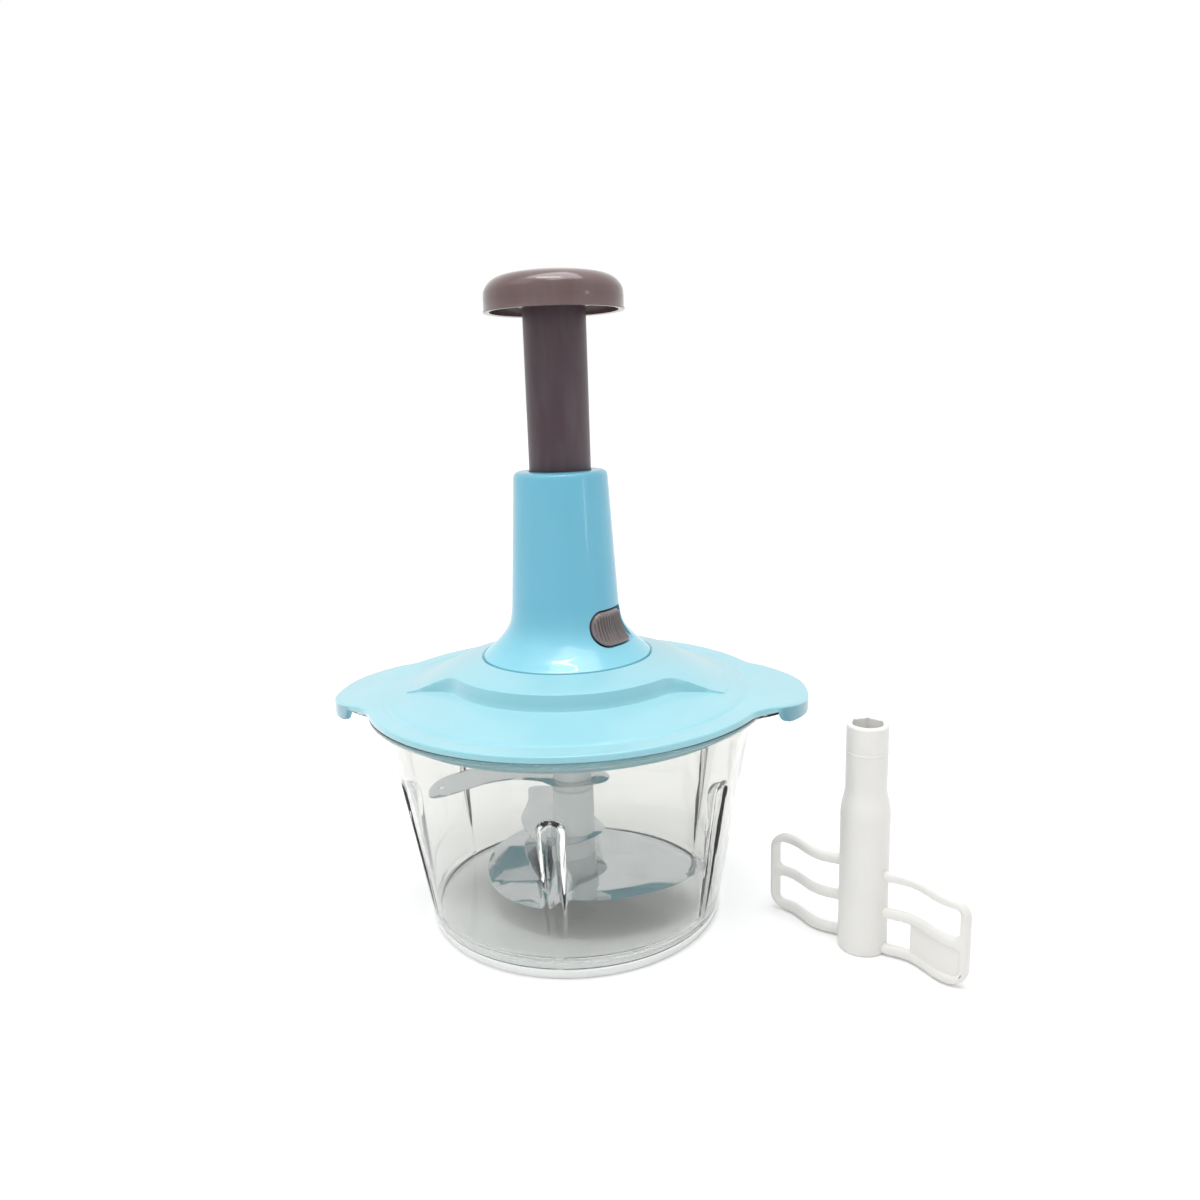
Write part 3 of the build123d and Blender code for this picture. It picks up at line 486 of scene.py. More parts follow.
def moulded_skin():
    """Moulded plastic: slow drifts of tone, fine orange peel, and gloss that varies a little."""
    usual = {"Colour": (0.5, 0.5, 0.5, 1), "Tone": 0.1, "Roughness": 0.3, "Marks": 0.3}
    tree, given, taken = group_tree("Moulded skin", usual, ("Colour", "Roughness", "Height"))
    place = placed(tree)
    drift = noise(tree, place, DRIFT, 4)
    grain = noise(tree, place, GRAIN, 2)
    peel = noise(tree, place, PEEL, 2)
    flow = noise(tree, placed(tree, FLOW), 1.0, 3, 0.6)
    tone = times(tree, spread(tree, drift, 0.35, 0.68), given["Tone"])
    shade = blend_colour(tree, tone, given["Colour"], BLACK)
    bloom = times(tree, spread(tree, flow, 0.4, 0.75), times(tree, given["Tone"], 0.4))
    colour = blend_colour(tree, bloom, shade, WHITE)
    rub = times(tree, spread(tree, flow, 0.5, 0.75), times(tree, given["Marks"], 0.12))
    wander = times(tree, maths(tree, "SUBTRACT", drift, 0.5), 0.05)
    rough = plus(tree, plus(tree, given["Roughness"], wander), rub)
    feed(taken, {"Colour": colour, "Roughness": spread(tree, rough, SMOOTHEST, 0.9, SMOOTHEST, 0.9),
                 "Height": plus(tree, peel, times(tree, grain, 0.3))})
    return tree


def fine_scratches():
    """Short hairlines in two directions, as from wiping and washing."""
    tree, given, taken = group_tree("Fine scratches", {"Amount": 0.5}, ("Mask", "Height"))
    lines = []
    for scale, turn in SCRATCH_WAYS:
        field = noise(tree, placed(tree, scale, turn), 1.0, 3, 0.6)
        lines.append(spread(tree, field, 0.63, 0.72))
    patches = spread(tree, noise(tree, placed(tree), PATCHES, 2), 0.42, 0.62)
    both = maths(tree, "MAXIMUM", lines[0], lines[1])
    mask = times(tree, times(tree, both, patches), given["Amount"])
    feed(taken, {"Mask": mask, "Height": times(tree, mask, -1.0)})
    return tree


def ground_metal():
    """Rolled and ground steel: fine lines along one way, and slow clouds in the polish."""
    usual = {"Colour": (0.7, 0.7, 0.7, 1), "Roughness": 0.15, "Lines": 0.3}
    tree, given, taken = group_tree("Ground metal", usual, ("Colour", "Roughness", "Height"))
    lines = noise(tree, placed(tree, GRINDING, GRINDING_TURN), 2.0, 4, 0.7)
    clouds = noise(tree, placed(tree), CLOUDS, 3)
    dim = times(tree, spread(tree, clouds, 0.4, 0.7), 0.16)
    wander = times(tree, maths(tree, "SUBTRACT", lines, 0.5), given["Lines"])
    haze = times(tree, spread(tree, clouds, 0.45, 0.75), 0.06)
    rough = plus(tree, plus(tree, given["Roughness"], wander), haze)
    feed(taken, {"Colour": blend_colour(tree, dim, given["Colour"], GREY_STEEL),
                 "Roughness": spread(tree, rough, SMOOTHEST, 0.8, SMOOTHEST, 0.8), "Height": lines})
    return tree


SKIN = moulded_skin()
SCRATCHES = fine_scratches()
METAL = ground_metal()


# ---- materials
PLASTIC_IOR, COAT_ROUGH, SHEEN_ROUGH, SCATTER_REACH = 1.5, 0.04, 0.45, 0.004
PLASTIC_BUMP, CLEAR_BUMP, STEEL_BUMP = 0.0002, 0.002, 0.0001     # distances, in metres
CLEAR_HAZE, CLEAR_RIPPLE, HAZE_DIM = 40, 22, 0.985
# Where the painted tones fade in, in millimetres: painted shade under the ears' top and inside the skirts,
# and painted light up the tower.
SKIRT_SHADE_DEPTHS, SKIRT_SHADE_FADE, FLARE_LIGHT_LOW, FLARE_LIGHT_HIGH = (0.9, 0.4), 3, 122, 146


def blank_material(name):
    material = bpy.data.materials.new(name)
    material.use_nodes = True
    return material, material.node_tree, material.node_tree.nodes["Principled BSDF"]


def use_group(tree, group, **inputs):
    node = tree.nodes.new("ShaderNodeGroup")
    node.node_tree = group
    feed(node, inputs)
    return node.outputs


def bumped(tree, shader, height, strength, distance):
    """Gives a shader a bump from a height."""
    node = chain(tree, "ShaderNodeBump", {"Height": height, "Strength": strength, "Distance": distance})
    feed(shader, {"Normal": node.outputs["Normal"]})


def plastic(name, colour, roughness, tone=0.08, marks=0.25, bump=0.05, coat=0.0, scatter=0.0, sheen=0.0,
            gloss=0.5, clear=0.0, passes=0.0):
    """Moulded plastic with a skin and hairlines, and with a clear coat, scatter or sheen where asked for."""
    material, tree, shader = blank_material(name)
    skin = use_group(tree, SKIN, Colour=(*colour, 1), Tone=tone, Roughness=roughness, Marks=marks)
    lines = use_group(tree, SCRATCHES, Amount=marks)
    rough = plus(tree, skin["Roughness"], times(tree, lines["Mask"], 0.1))
    bumped(tree, shader, plus(tree, skin["Height"], lines["Height"]), bump, PLASTIC_BUMP)
    feed(shader, {"Base Color": skin["Colour"], "Roughness": rough, "IOR": PLASTIC_IOR,
                  "Specular IOR Level": gloss, "Coat Weight": coat, "Coat Roughness": COAT_ROUGH,
                  "Sheen Weight": sheen, "Sheen Roughness": SHEEN_ROUGH, "Subsurface Weight": scatter,
                  "Subsurface Radius": (SCATTER_REACH,) * 3, "Transmission Weight": clear})
    if passes:
        let_light_through(tree, shader, passes)
    return material


def let_light_through(tree, shader, share):
    """Lets a share of the light that falls on a surface pass through to what lies behind it."""
    path = tree.nodes.new("ShaderNodeLightPath").outputs
    open_way = chain(tree, "ShaderNodeBsdfTransparent", {"Color": (share, share, share, 1)})
    mix = chain(tree, "ShaderNodeMixShader",
                {0: path["Is Shadow Ray"], 1: shader.outputs[0], 2: open_way.outputs[0]})
    feed(tree.nodes["Material Output"], {"Surface": mix.outputs[0]})


def clear_plastic(name, tint, roughness, density):
    """Clear moulded plastic: smooth, faintly tinted, with hairlines that catch the light."""
    material, tree, shader = blank_material(name)
    lines = use_group(tree, SCRATCHES, Amount=density)
    rough = plus(tree, times(tree, lines["Mask"], 0.12), roughness)
    haze = spread(tree, noise(tree, placed(tree), CLEAR_HAZE, 3), 0.3, 0.8)
    colour = blend_colour(tree, haze, (*tint, 1), (*(c * HAZE_DIM for c in tint), 1))
    feed(shader, {"Transmission Weight": 1.0, "IOR": PLASTIC_IOR, "Roughness": rough, "Base Color": colour})
    bumped(tree, shader, noise(tree, placed(tree), CLEAR_RIPPLE, 2), 0.05, CLEAR_BUMP)
    let_light_through(tree, shader, 1.0)
    return material


def steel(name, colour, roughness, lines, bump=0.05):
    material, tree, shader = blank_material(name)
    metal = use_group(tree, METAL, Colour=(*colour, 1), Roughness=roughness, Lines=lines)
    feed(shader, {"Metallic": 1.0, "Base Color": metal["Colour"], "Roughness": metal["Roughness"]})
    bumped(tree, shader, metal["Height"], bump, STEEL_BUMP)
    return material


def retoned(material, colour, find_place):
    """Turns a plastic's colour towards another where a mask says."""
    tree = material.node_tree
    shader = tree.nodes["Principled BSDF"]
    plain = shader.inputs["Base Color"].links[0].from_socket
    feed(shader, {"Base Color": blend_colour(tree, find_place(tree), plain, (*colour, 1))})


def skirt_painted_shade(tree):
    """1 on the skirts under the lid's ears, where a darker tone is painted in as shade."""
    parts = axes(tree, placed(tree))
    out = maths(tree, "ABSOLUTE", parts["X"])
    level = plus(tree, parts["Z"], times(tree, out, EAR_FALL))
    top = (LID_TOP + EAR_FALL * EAR_BEND_X) * MM
    low, high = (top - depth * MM for depth in SKIRT_SHADE_DEPTHS)
    below = spread(tree, level, low, high, 1, 0)
    return times(tree, below, spread(tree, out, (SKIRT_X - SKIRT_SHADE_FADE) * MM, SKIRT_X * MM))


def flare_painted_light(tree):
    """1 at the tower's foot, fading out above its flare: where a lighter tone is painted in as the light from
    above falling on the flare.
    """
    return spread(tree, axes(tree, placed(tree))["Z"], FLARE_LIGHT_LOW * MM, FLARE_LIGHT_HIGH * MM, 1, 0)


LOOKS = {
    "bowl_clear": clear_plastic("Clear bowl", (0.82, 0.824, 0.806), 0.012, 0.5),
    "mat_grey": plastic("Soft grey mat", (0.93, 0.95, 0.94), 0.45, tone=0.03, marks=0.1, scatter=0.3),
    "steel": steel("Polished blade steel", (0.72, 0.75, 0.77), 0.05, 0.05),
    "hub_white": plastic("Milky hub", (0.92, 0.96, 0.96), 0.32, tone=0.05, marks=0.2, bump=0.04, scatter=0.4,
                         clear=0.15),
    "lid_aqua": plastic("Aqua lid", (0.26, 0.605, 0.69), 0.42, tone=0.04, marks=0.15, bump=0.02, coat=0.3,
                        sheen=0.8, gloss=0.8, passes=0.9),
    "tower_blue": plastic("Aqua tower", (0.135, 0.48, 0.64), 0.3, tone=0.05, marks=0.15, bump=0.02, coat=0.4),
    "silicone": plastic("Silicone seal", (0.80, 0.83, 0.83), 0.55, tone=0.06, marks=0.1, bump=0.1),
    "inner_white": plastic("White inner parts", (0.78, 0.78, 0.76), 0.42, tone=0.06, passes=0.9),
    "acetal": plastic("Acetal", (0.74, 0.75, 0.73), 0.34, tone=0.05),
    "cap_mauve": plastic("Mauve cap", (0.125, 0.073, 0.071), 0.17, tone=0.10, marks=0.4, bump=0.03, coat=0.2),
    "stem_mauve": plastic("Dark mauve stem", (0.074, 0.046, 0.057), 0.36, tone=0.12, marks=0.3, bump=0.03,
                          gloss=0.3),
    "spring_steel": steel("Spring wire", (0.55, 0.56, 0.58), 0.25, 0.2, 0.1),
    "screw_zinc": steel("Zinc plate", (0.62, 0.63, 0.66), 0.32, 0.25, 0.1),
    "whisk_white": plastic("White whisk", (0.82, 0.81, 0.78), 0.36, tone=0.03, marks=0.15, coat=0.05),
}
# Painted shade: the skirts under the ears get a darker teal for the shade that falls on them.
retoned(LOOKS["lid_aqua"], (0.08, 0.32, 0.42), skirt_painted_shade)
# Painted light: the flare at the tower's foot gets a lighter aqua for the light from above that falls on it.
retoned(LOOKS["tower_blue"], (0.24, 0.62, 0.75), flare_painted_light)


def dress_frame():
    """Gives each node that stays in view the finish of its slot."""
    for part in frame["record"]["subparts"]:
        node = frame["nodes"][part["node"]]
        node.data.materials.clear()
        node.data.materials.append(LOOKS[part["material_slot"]])


# ---- mat and bowl
def make_base_mat():
    top, lip, inner = MAT_T + BOND, LIP_TOP - LIP_GAP, FOOT_R - BOND
    corners = [(0, 0), (MAT_R, 0, 0.5), (WALL_FOOT_R + 0.3, lip, 0.3), (inner, lip, 0.2), (inner, top, 0.3),
               (0, top)]
    mat = turned("bowl_mat", rounded(corners), 192)
    finish_piece(mat, "bowl", "mat_grey", "base_mat")


def wall_r(z):
    return WALL_FOOT_R + WALL_SLOPE * (z - LIP_TOP)


def flute_face(angle, height, crest, radius):
    """Distance from the axis to a flute's face: round along its crest, and steep and straight beyond."""
    off = min(abs((angle - flute + 180) % 360 - 180) for flute in FLUTES)
    crest += FLUTE_LEAN * (height - FLUTE_START)
    side = crest * sin(radians(min(off, 90)))
    away = hypot(side, max(0, height - FLUTE_TOP + FLUTE_R))
    round_end = radius * sin(radians(FLUTE_BEND))
    if away <= round_end:
        return crest + radius - sqrt(radius ** 2 - away ** 2)
    return crest + radius * (1 - cos(radians(FLUTE_BEND))) + (away - round_end) * tan(radians(FLUTE_DRAFT))


def with_flute(plain, angle, height, crest, radius, soft):
    return smooth_min(plain, flute_face(angle, height, crest, radius), soft)


def wall_heights():
    """Heights at which the bowl's wall is drawn, close together at the tops of the flutes."""
    start, stop = FLUTE_TOP - 8, FLUTE_TOP + 2.5
    return [LIP_TOP + 0.4, 7, 10, *spaced(12, start, 22)[:-1], *spaced(start, stop, 15), 82, 88, 94, 98]


def ear_r(angle, inset=0.0):
    """Outline of the two ears, as a distance from the axis."""
    off = abs((angle + 90) % 180 - 90)
    if off >= EAR_SIDE[-1][0]:
        return 0.0
    k = next(i for i in range(1, len(EAR_SIDE)) if off <= EAR_SIDE[i][0])
    (a, r), (b, s) = EAR_SIDE[k - 1:k + 1]
    before = EAR_SIDE[k - 2][1] if k > 1 else s
    after = EAR_SIDE[k + 1][1] if k + 1 < len(EAR_SIDE) else 2 * s - r
    return spline(before, r, s, after, (off - a) / (b - a)) - inset


def ring_angles(spans):
    """Angles round the axis: close together in the given spans, wider elsewhere."""
    angles, angle = [], 0.0
    while angle < 359.9:
        angles.append(angle)
        near = any(low <= (angle - centre + 180) % 360 - 180 < high for centre, low, high in spans)
        angle = round(angle + (FINE_STEP if near else WIDE_STEP), 4)
    return angles


def bowl_section(angle):
    """Closed profile of the bowl at an angle."""
    rim = smooth_max(FLANGE_R, ear_r(angle, LUG_INSET), LUG_SOFT)
    low = RIM_TOP - FLANGE_T
    top_in = wall_r(RIM_TOP) - WALL_T
    heights = wall_heights()
    outside = [(with_flute(wall_r(z), angle, z, GROOVE_CREST, GROOVE_R, GROOVE_SOFT), z) for z in heights]
    inside = [(with_flute(wall_r(z) - WALL_T, angle, z, FLUTE_CREST, FLUTE_R, FLUTE_SOFT), z)
              for z in reversed(heights[2:])]
    for turn in range(0, 91, 15):
        r = wall_r(FLOOR_TOP) - WALL_T - FLOOR_CORNER * (1 - cos(radians(turn))) + CORNER_OUT
        inside.append((r, FLOOR_TOP + FLOOR_CORNER * (1 - sin(radians(turn))) * CORNER_FLAT))
    foot = rounded([(FOOT_R - 6, MAT_T), (FOOT_R, MAT_T, 0.4), (FOOT_R, LIP_TOP, 0.2),
                    (WALL_FOOT_R, LIP_TOP, 0.3), (wall_r(LIP_TOP + 2), LIP_TOP + 2)], 3)[:-1]
    edge = rounded([(wall_r(low - 2), low - 2), (wall_r(low), low, 0.8), (rim, low, 1.0), (rim, RIM_TOP, 1.0),
                    (top_in, RIM_TOP, 0.7), (top_in - 0.3, RIM_TOP - 3)], 3)[:-1]
    floor = [(r, FLOOR_TOP) for r in (54, 40, 24, 12, BOSS_FOOT_R)]
    boss = rounded([(BOSS_FOOT_R, FLOOR_TOP), (BOSS_R, FLOOR_TOP, 0.8), (BOSS_R, BOSS_TOP, 0.7),
                    (BOSS_BORE_R, BOSS_TOP)], 3)[1:]
    under = [(r, MAT_T) for r in (BOSS_BORE_R, 24, 44)]
    return under + foot + outside + edge + inside + floor + boss


def make_bowl():
    spans = [(flute, -FLUTE_SPAN, FLUTE_SPAN) for flute in FLUTES]
    angles = ring_angles(spans + [(ear, -EAR_SPAN, EAR_SPAN) for ear in (0, 180)])
    bowl = lofted("clear_bowl", rings_round(angles, [bowl_section(a) for a in angles]))
    finish_piece(bowl, "bowl", "bowl_clear", "mixing_bowl", smooth=38)


# ---- lid
def recess_wall(angle):
    """Distance from the axis to the wall of the crescent at the front, along an angle."""
    off = abs((angle + 90 + 180) % 360 - 180)
    t = clamp((off - RECESS_TURN) / (RECESS_TIP - RECESS_TURN))
    return RECESS_WALL_R + (RECESS_END_R - RECESS_WALL_R) * t ** RECESS_SWING


def dome_z(r):
    """Height of the lid's dome at a distance from the axis: crown, flank, shelf and a short steep foot."""
    crown = CROWN_Z + (KNEE_Z - CROWN_Z) * (r - TOWER_FOOT_R) / (KNEE_R - TOWER_FOOT_R)
    flank = KNEE_Z - FLANK_FALL * (r - KNEE_R)
    shelf = SHELF_Z - SHELF_FALL * (r - SHELF_R)
    foot = LID_TOP + DOME_FOOT_RISE * (DOME_FOOT_R - r)
    side = smooth_max(smooth_min(crown, flank, KNEE_SOFT), shelf, SHELF_SOFT)
    return smooth_max(smooth_min(side, foot, DOME_EDGE_SOFT), LID_TOP, DOME_FOOT_SOFT)


def lid_top_z(r, angle, drop=0.0):
    """Height of the lid's top face, with the crescent taken out of the dome. A drop gives its underside."""
    r = r + drop
    into = r - recess_wall(angle)
    floor = RECESS_Z - RECESS_FALL * (r - RECESS_WALL_R)
    step = smooth_max(floor, RECESS_Z - RECESS_STEEP * into, RECESS_FOOT_SOFT)
    return smooth_min(dome_z(r), step, RECESS_EDGE_SOFT) - drop


def lid_stations(angle, shrink=0.0):
    """Distances from the axis at which the top face is drawn, close together at the crescent's wall."""
    steps = [recess_wall(angle) + step for step in WALL_STEPS]
    crown = spaced(SEAT_R + 1.2, steps[0], 9)[:-1]
    flank = spaced(steps[-1], SHELF_END, 8)[1:]
    foot = spaced(SHELF_END, RING_START, 12)[1:]
    return [r - shrink for r in crown + steps + flank + foot]


def ear_top(x):
    """Height of the ring's top face, which falls outward over the ears."""
    return LID_TOP - EAR_FALL * max(0, abs(x) - EAR_BEND_X)


def rounding(over):
    """How far a round corner lies above its lowest level, at a distance from its side."""
    away = SKIRT_ROUND - min(max(over, 0), SKIRT_ROUND)
    return SKIRT_ROUND - sqrt(SKIRT_ROUND ** 2 - away ** 2)


def skirt_low(x):
    """Lower edge of an ear's skirt, round at both ends."""
    over, left = abs(x) - SKIRT_X, EAR_SIDE[0][1] + SKIRT_END - abs(x)
    if over <= 0:
        return LID_SEAT
    side = SKIRT_LOW + max(rounding(over), rounding(left))
    return side if over > SKIRT_SIDE else LID_SEAT + (side - LID_SEAT) * over / SKIRT_SIDE


def lid_section(angle):
    """Closed profile of the lid at an angle, from the tower's seat out over the top and back underneath."""
    rim = smooth_max(LID_R, ear_r(angle), EAR_SOFT)
    x = rim * cos(radians(angle))
    top_z, low = ear_top(x), skirt_low(x)
    top = [(r, lid_top_z(r, angle)) for r in lid_stations(angle)]
    flat = [(r, ear_top(r * cos(radians(angle)))) for r in spaced(RING_START, rim - RIM_ROUND, 8)[1:]]
    turn = [radians(a) for a in range(15, 91, 15)]
    edge = [(rim - RIM_ROUND * (1 - sin(a)), top_z - RIM_ROUND * (1 - cos(a))) for a in turn]
    body = [(rim, (top_z - RIM_ROUND + low) / 2), (rim, low + SKIRT_LIP), (rim - SKIRT_LIP, low),
            (rim - SKIRT_T + SKIRT_LIP, low), (rim - SKIRT_T, low + min(SKIRT_LIP, LID_SEAT - low)),
            (rim - SKIRT_T, LID_SEAT)]
    groove_r = PLUG_R - GROOVE_D
    plug = [(PLUG_R + 0.6, LID_SEAT), (PLUG_R, LID_SEAT - 0.6), (PLUG_R, GROOVE_HIGH),
            (groove_r, GROOVE_HIGH), (groove_r, GROOVE_LOW), (PLUG_R, GROOVE_LOW), (PLUG_R, PLUG_LOW + 0.5),
            (PLUG_R - 0.5, PLUG_LOW), (PLUG_IN_R + 0.5, PLUG_LOW), (PLUG_IN_R, PLUG_LOW + 0.5),
            (PLUG_IN_R, LID_SEAT - 0.4)]
    under = [(r, lid_top_z(r, angle, LID_WALL)) for r in reversed(lid_stations(angle, LID_WALL))]
    under = [(min(r, PLUG_IN_R - 0.1), z) for r, z in under]
    seat_out = SEAT_R + LID_WALL
    under = [(max(r, seat_out + 0.02 * (len(under) - i)), z) for i, (r, z) in enumerate(under)]
    ceiling = [(seat_out, SEAT_Z - LID_WALL + 0.4), (seat_out - 0.4, SEAT_Z - LID_WALL),
               (WELL_OUT_R, SEAT_Z - LID_WALL), (WELL_OUT_R, WELL_LOW), (WELL_R, WELL_LOW), (WELL_R, SEAT_Z),
               (SEAT_R, SEAT_Z), (SEAT_R, CROWN_Z - 1.2), (SEAT_R + 0.12, CROWN_Z - 0.6),
               (SEAT_R + 0.5, CROWN_Z - 0.25)]
    return top + flat + edge + body + plug + under + ceiling


def make_lid():
    spans = [(ear, *side) for ear in (0, 180) for side in ((-EAR_SPAN, -EAR_MIDDLE), (EAR_MIDDLE, EAR_SPAN))]
    angles = ring_angles(spans)
    rings = rings_round(angles, [lid_section(a) for a in angles])
    lid = lofted("aqua_lid", rings + [rings[0]], closed=True)
    finish_piece(lid, "lid", "lid_aqua", "lid_shell", smooth=40)


def make_gasket():
    inner, mid = PLUG_R - GROOVE_D, (GROOVE_LOW + GROOVE_HIGH) / 2
    crest = GASKET_R - GASKET_LIP
    corners = [(inner, GROOVE_LOW), (crest, GROOVE_LOW, 0.3), (GASKET_R, mid - 0.35, 0.3),
               (GASKET_R, mid + 0.35, 0.3), (crest, GROOVE_HIGH, 0.3), (inner, GROOVE_HIGH)]
    seal = turned("lid_seal", rounded(corners, 3) + [(inner, GROOVE_LOW)], 192)
    finish_piece(seal, "lid", "silicone", "lid_gasket")


# ---- tower
def tower_side():
    return through(TOWER_FLARE, 6) + [(TOWER_TOP_R, TOWER_TOP)]


def tower_r(z):
    """Radius of the tower's outside at a height."""
    side = tower_side()
    for (r, low), (s, high) in zip(side, side[1:]):
        if low <= z <= high:
            return r + (s - r) * (z - low) / (high - low)
    return side[0][0] if z < side[0][1] else side[-1][0]


def button_half_height(u, grow=0.0, stretch=0.0):
    """Half height of the lock button's outline at a distance along the turn."""
    width, height = BUTTON_W / 2 + grow, BUTTON_H / 2 + grow
    left, right = BUTTON_LEFT * height, BUTTON_RIGHT * height
    if u < -width + left:
        corner, reach = left, u + width
    elif u > width + stretch - right:
        corner, reach = right, width + stretch - u
    else:
        return height
    return height - corner + sqrt(max(corner ** 2 - (corner - reach) ** 2, 0))


def on_tower(u, z, proud):
    """Point on the tower's surface, u along the turn from the middle of the lock."""
    r = tower_r(z) + proud
    turn = radians(LOCK_ANGLE) + u / (tower_r(LOCK_Z) + BUTTON_PROUD)
    return r * cos(turn), r * sin(turn), z


def button_block(name, columns, layers, grow, stretch=0.0):
    """Curved block of the lock button's outline, grown all round and stretched along the turn."""
    upper = []
    for i in range(columns + 1):
        t = (1 - cos(pi * i / columns)) / 2
        u = -BUTTON_W / 2 - grow + (BUTTON_W + 2 * grow + stretch) * t
        upper.append((u, button_half_height(u, grow, stretch)))
    around = upper + [(u, -h) for u, h in reversed(upper[1:-1])]
    return lofted(name, [[on_tower(u, LOCK_Z + h, proud) for u, h in around] for proud in layers])


def make_tower():
    outside = tower_side()[:-1]
    low = TOWER_TOP - MOUTH_DEEP
    top = rounded([outside[-1], (TOWER_TOP_R, TOWER_TOP, TOWER_EDGE), (MOUTH_R, TOWER_TOP, 0.5),
                   (MOUTH_R, low), (TOWER_TOP_R - TOWER_WALL, low)], 6)[1:]
    inside = [(r - TOWER_WALL, z) for r, z in reversed(outside)]
    foot = [(TOWER_FOOT_R - TOWER_WALL, SEAT_Z), (TOWER_FOOT_R, SEAT_Z), (TOWER_FOOT_R, CROWN_Z - 0.4)]
    body = [(TOWER_FOOT_R - 0.1, CROWN_Z)] + outside[1:] + top + inside + foot
    tower = turned("aqua_tower", body + [body[0]], 160)
    cut(tower, button_block("slot_tool", 26, SLOT_LAYERS, SLOT_GAP, radians(LOCK_TURN) * tower_r(LOCK_Z)))
    finish_piece(tower, "lid", "tower_blue", "tower_housing", smooth=30)


def make_lock_button():
    """Ribbed D-shaped button, drawn as a grid of columns that follow its outline."""
    button = primitive("lock_button_skin", "grid", x_subdivisions=BUTTON_COLUMNS, y_subdivisions=BUTTON_ROWS,
                       size=2)
    pitch = (BUTTON_W - RIB_MARGIN) / RIBS
    for vertex in button.data.vertices:
        s, t = vertex.co.x, vertex.co.y
        u = BUTTON_W / 2 * (sin(s * pi / 2) * BUTTON_CROWDING + s * (1 - BUTTON_CROWDING))
        half = max(button_half_height(u), 0.01)
        h = t * half
        inset = min(half - abs(h), BUTTON_W / 2 - abs(u))
        edge = clamp(inset / BUTTON_EDGE)
        proud = BUTTON_PROUD - EDGE_DROP * (1 - sqrt(max(1 - (1 - edge) ** 2, 0)))
        field = clamp((inset - RIB_INSET) / RIB_FADE)
        rib = max(0, cos(2 * pi * (u / pitch)))
        proud += RIB_PROUD * rib * field - RIB_SINK * field
        vertex.co = on_tower(u, LOCK_Z + h, proud)
    pick(button, lambda e: False, "EDGE")
    bpy.ops.mesh.select_non_manifold()
    raise_ring(0)
    leave()
    for vertex in button.data.vertices:
        if vertex.select:
            x, y, z = vertex.co
            r = hypot(x, y)
            pull = (r - TOWER_WALL - BUTTON_SKIRT) / r
            vertex.co = (x * pull, y * pull, z)
    clean(button)
    look = plastic("Ribbed lock button", (0.185, 0.15, 0.15), 0.22, tone=0.10, marks=0.3, bump=0.03, coat=0.4)
    finish_piece(button, "lock", "cap_mauve", look=look, smooth=50)
    # The plate behind the slot that the button stands on.
    slider = button_block("lock_slider", 24, SLIDER_LAYERS, SLIDER_GROW)
    finish_piece(slider, "lock", "cap_mauve", look=LOOKS["stem_mauve"])
    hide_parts("lock_button")


# ---- plunger
def make_cap():
    lip = [(CAP_R + out, CAP_RIM + up) for out, up in CAP_LIP]
    shoulder = through([(CAP_R, CAP_SIDE - 1.5), (CAP_R, CAP_SIDE), *CAP_SHOULDER, (0.6, CAP_TOP)], 4)
    socket_r = STEM_R + SOCKET_GAP
    hollow = [(0, SOCKET_TOP), (socket_r, SOCKET_TOP), (socket_r, SOCKET_LOW),
              (STEM_R + SOCKET_OUT, SOCKET_LOW), *CAP_CEILING, (CAP_R - CAP_WALL, CAP_RIM + 0.3)]
    cap = turned("mauve_cap", hollow + lip + shoulder + [(0, CAP_TOP)], 160)
    finish_piece(cap, "plunger", "cap_mauve", "push_cap")


def make_stem():
    inner = STEM_R - STEM_T
    profile = rounded([(STEM_R, STEM_LOW, 0.4), (STEM_R, STEM_MIDDLE), (STEM_R, STEM_TOP, 0.4),
                       (inner, STEM_TOP, 0.3), (inner, STEM_LOW, 0.3)], 3)
    stem = turned("mauve_stem", profile + [profile[0]], 128)
    finish_piece(stem, "plunger", "stem_mauve", "stem_tube")


def make_return_spring():
    """Coil of the return spring, at one fixed length; the real one shortens as the plunger goes down."""
    steps = SPRING_TURNS * TURN_STEPS
    rise = SPRING_TOP - SPRING_LOW - 2 * WIRE_R
    rings = []
    for i in range(steps + 1):
        turn = 2 * pi * i / TURN_STEPS
        height = SPRING_LOW + WIRE_R + rise * i / steps
        ring = []
        for k in range(WIRE_SIDES):
            a = 2 * pi * k / WIRE_SIDES
            r = SPRING_R + WIRE_R * cos(a)
            ring.append((r * cos(turn), r * sin(turn), height + WIRE_R * sin(a)))
        rings.append(ring)
    spring = lofted("coil_spring", rings)
    finish_piece(spring, "lid", "spring_steel", "return_spring", smooth=60)
    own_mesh(spring)


# ---- blades
def make_hub():
    profile = rounded([(HUB_SOCKET_R, HUB_FOOT), (HUB_FOOT_R, HUB_FOOT, 0.5),
                       (HUB_FOOT_R, HUB_STEP - 0.8, 0.3), (HUB_TOP_R, HUB_STEP, 0.3),
                       (HUB_TOP_R, HUB_TOP, 0.5), (HUB_BORE_R, HUB_TOP, 0.3),
                       (HUB_BORE_R, HUB_WEB_TOP), (0, HUB_WEB_TOP)], 3)
    hub = turned("milky_hub", [(0, HUB_WEB_LOW), (HUB_SOCKET_R, HUB_WEB_LOW)] + profile, 96)
    finish_piece(hub, "blades", "hub_white", "blade_hub")


def blade_ring(outline, z, inward):
    """The blade's outline at a height, drawn in towards the hub."""
    ring = []
    for x, y in outline:
        r = hypot(x, y)
        keep = max(GRIND_STOP_R + GRIND_SQUEEZE * (r - GRIND_STOP_R), r - inward) / r
        ring.append((x * keep, y * keep, z))
    return ring


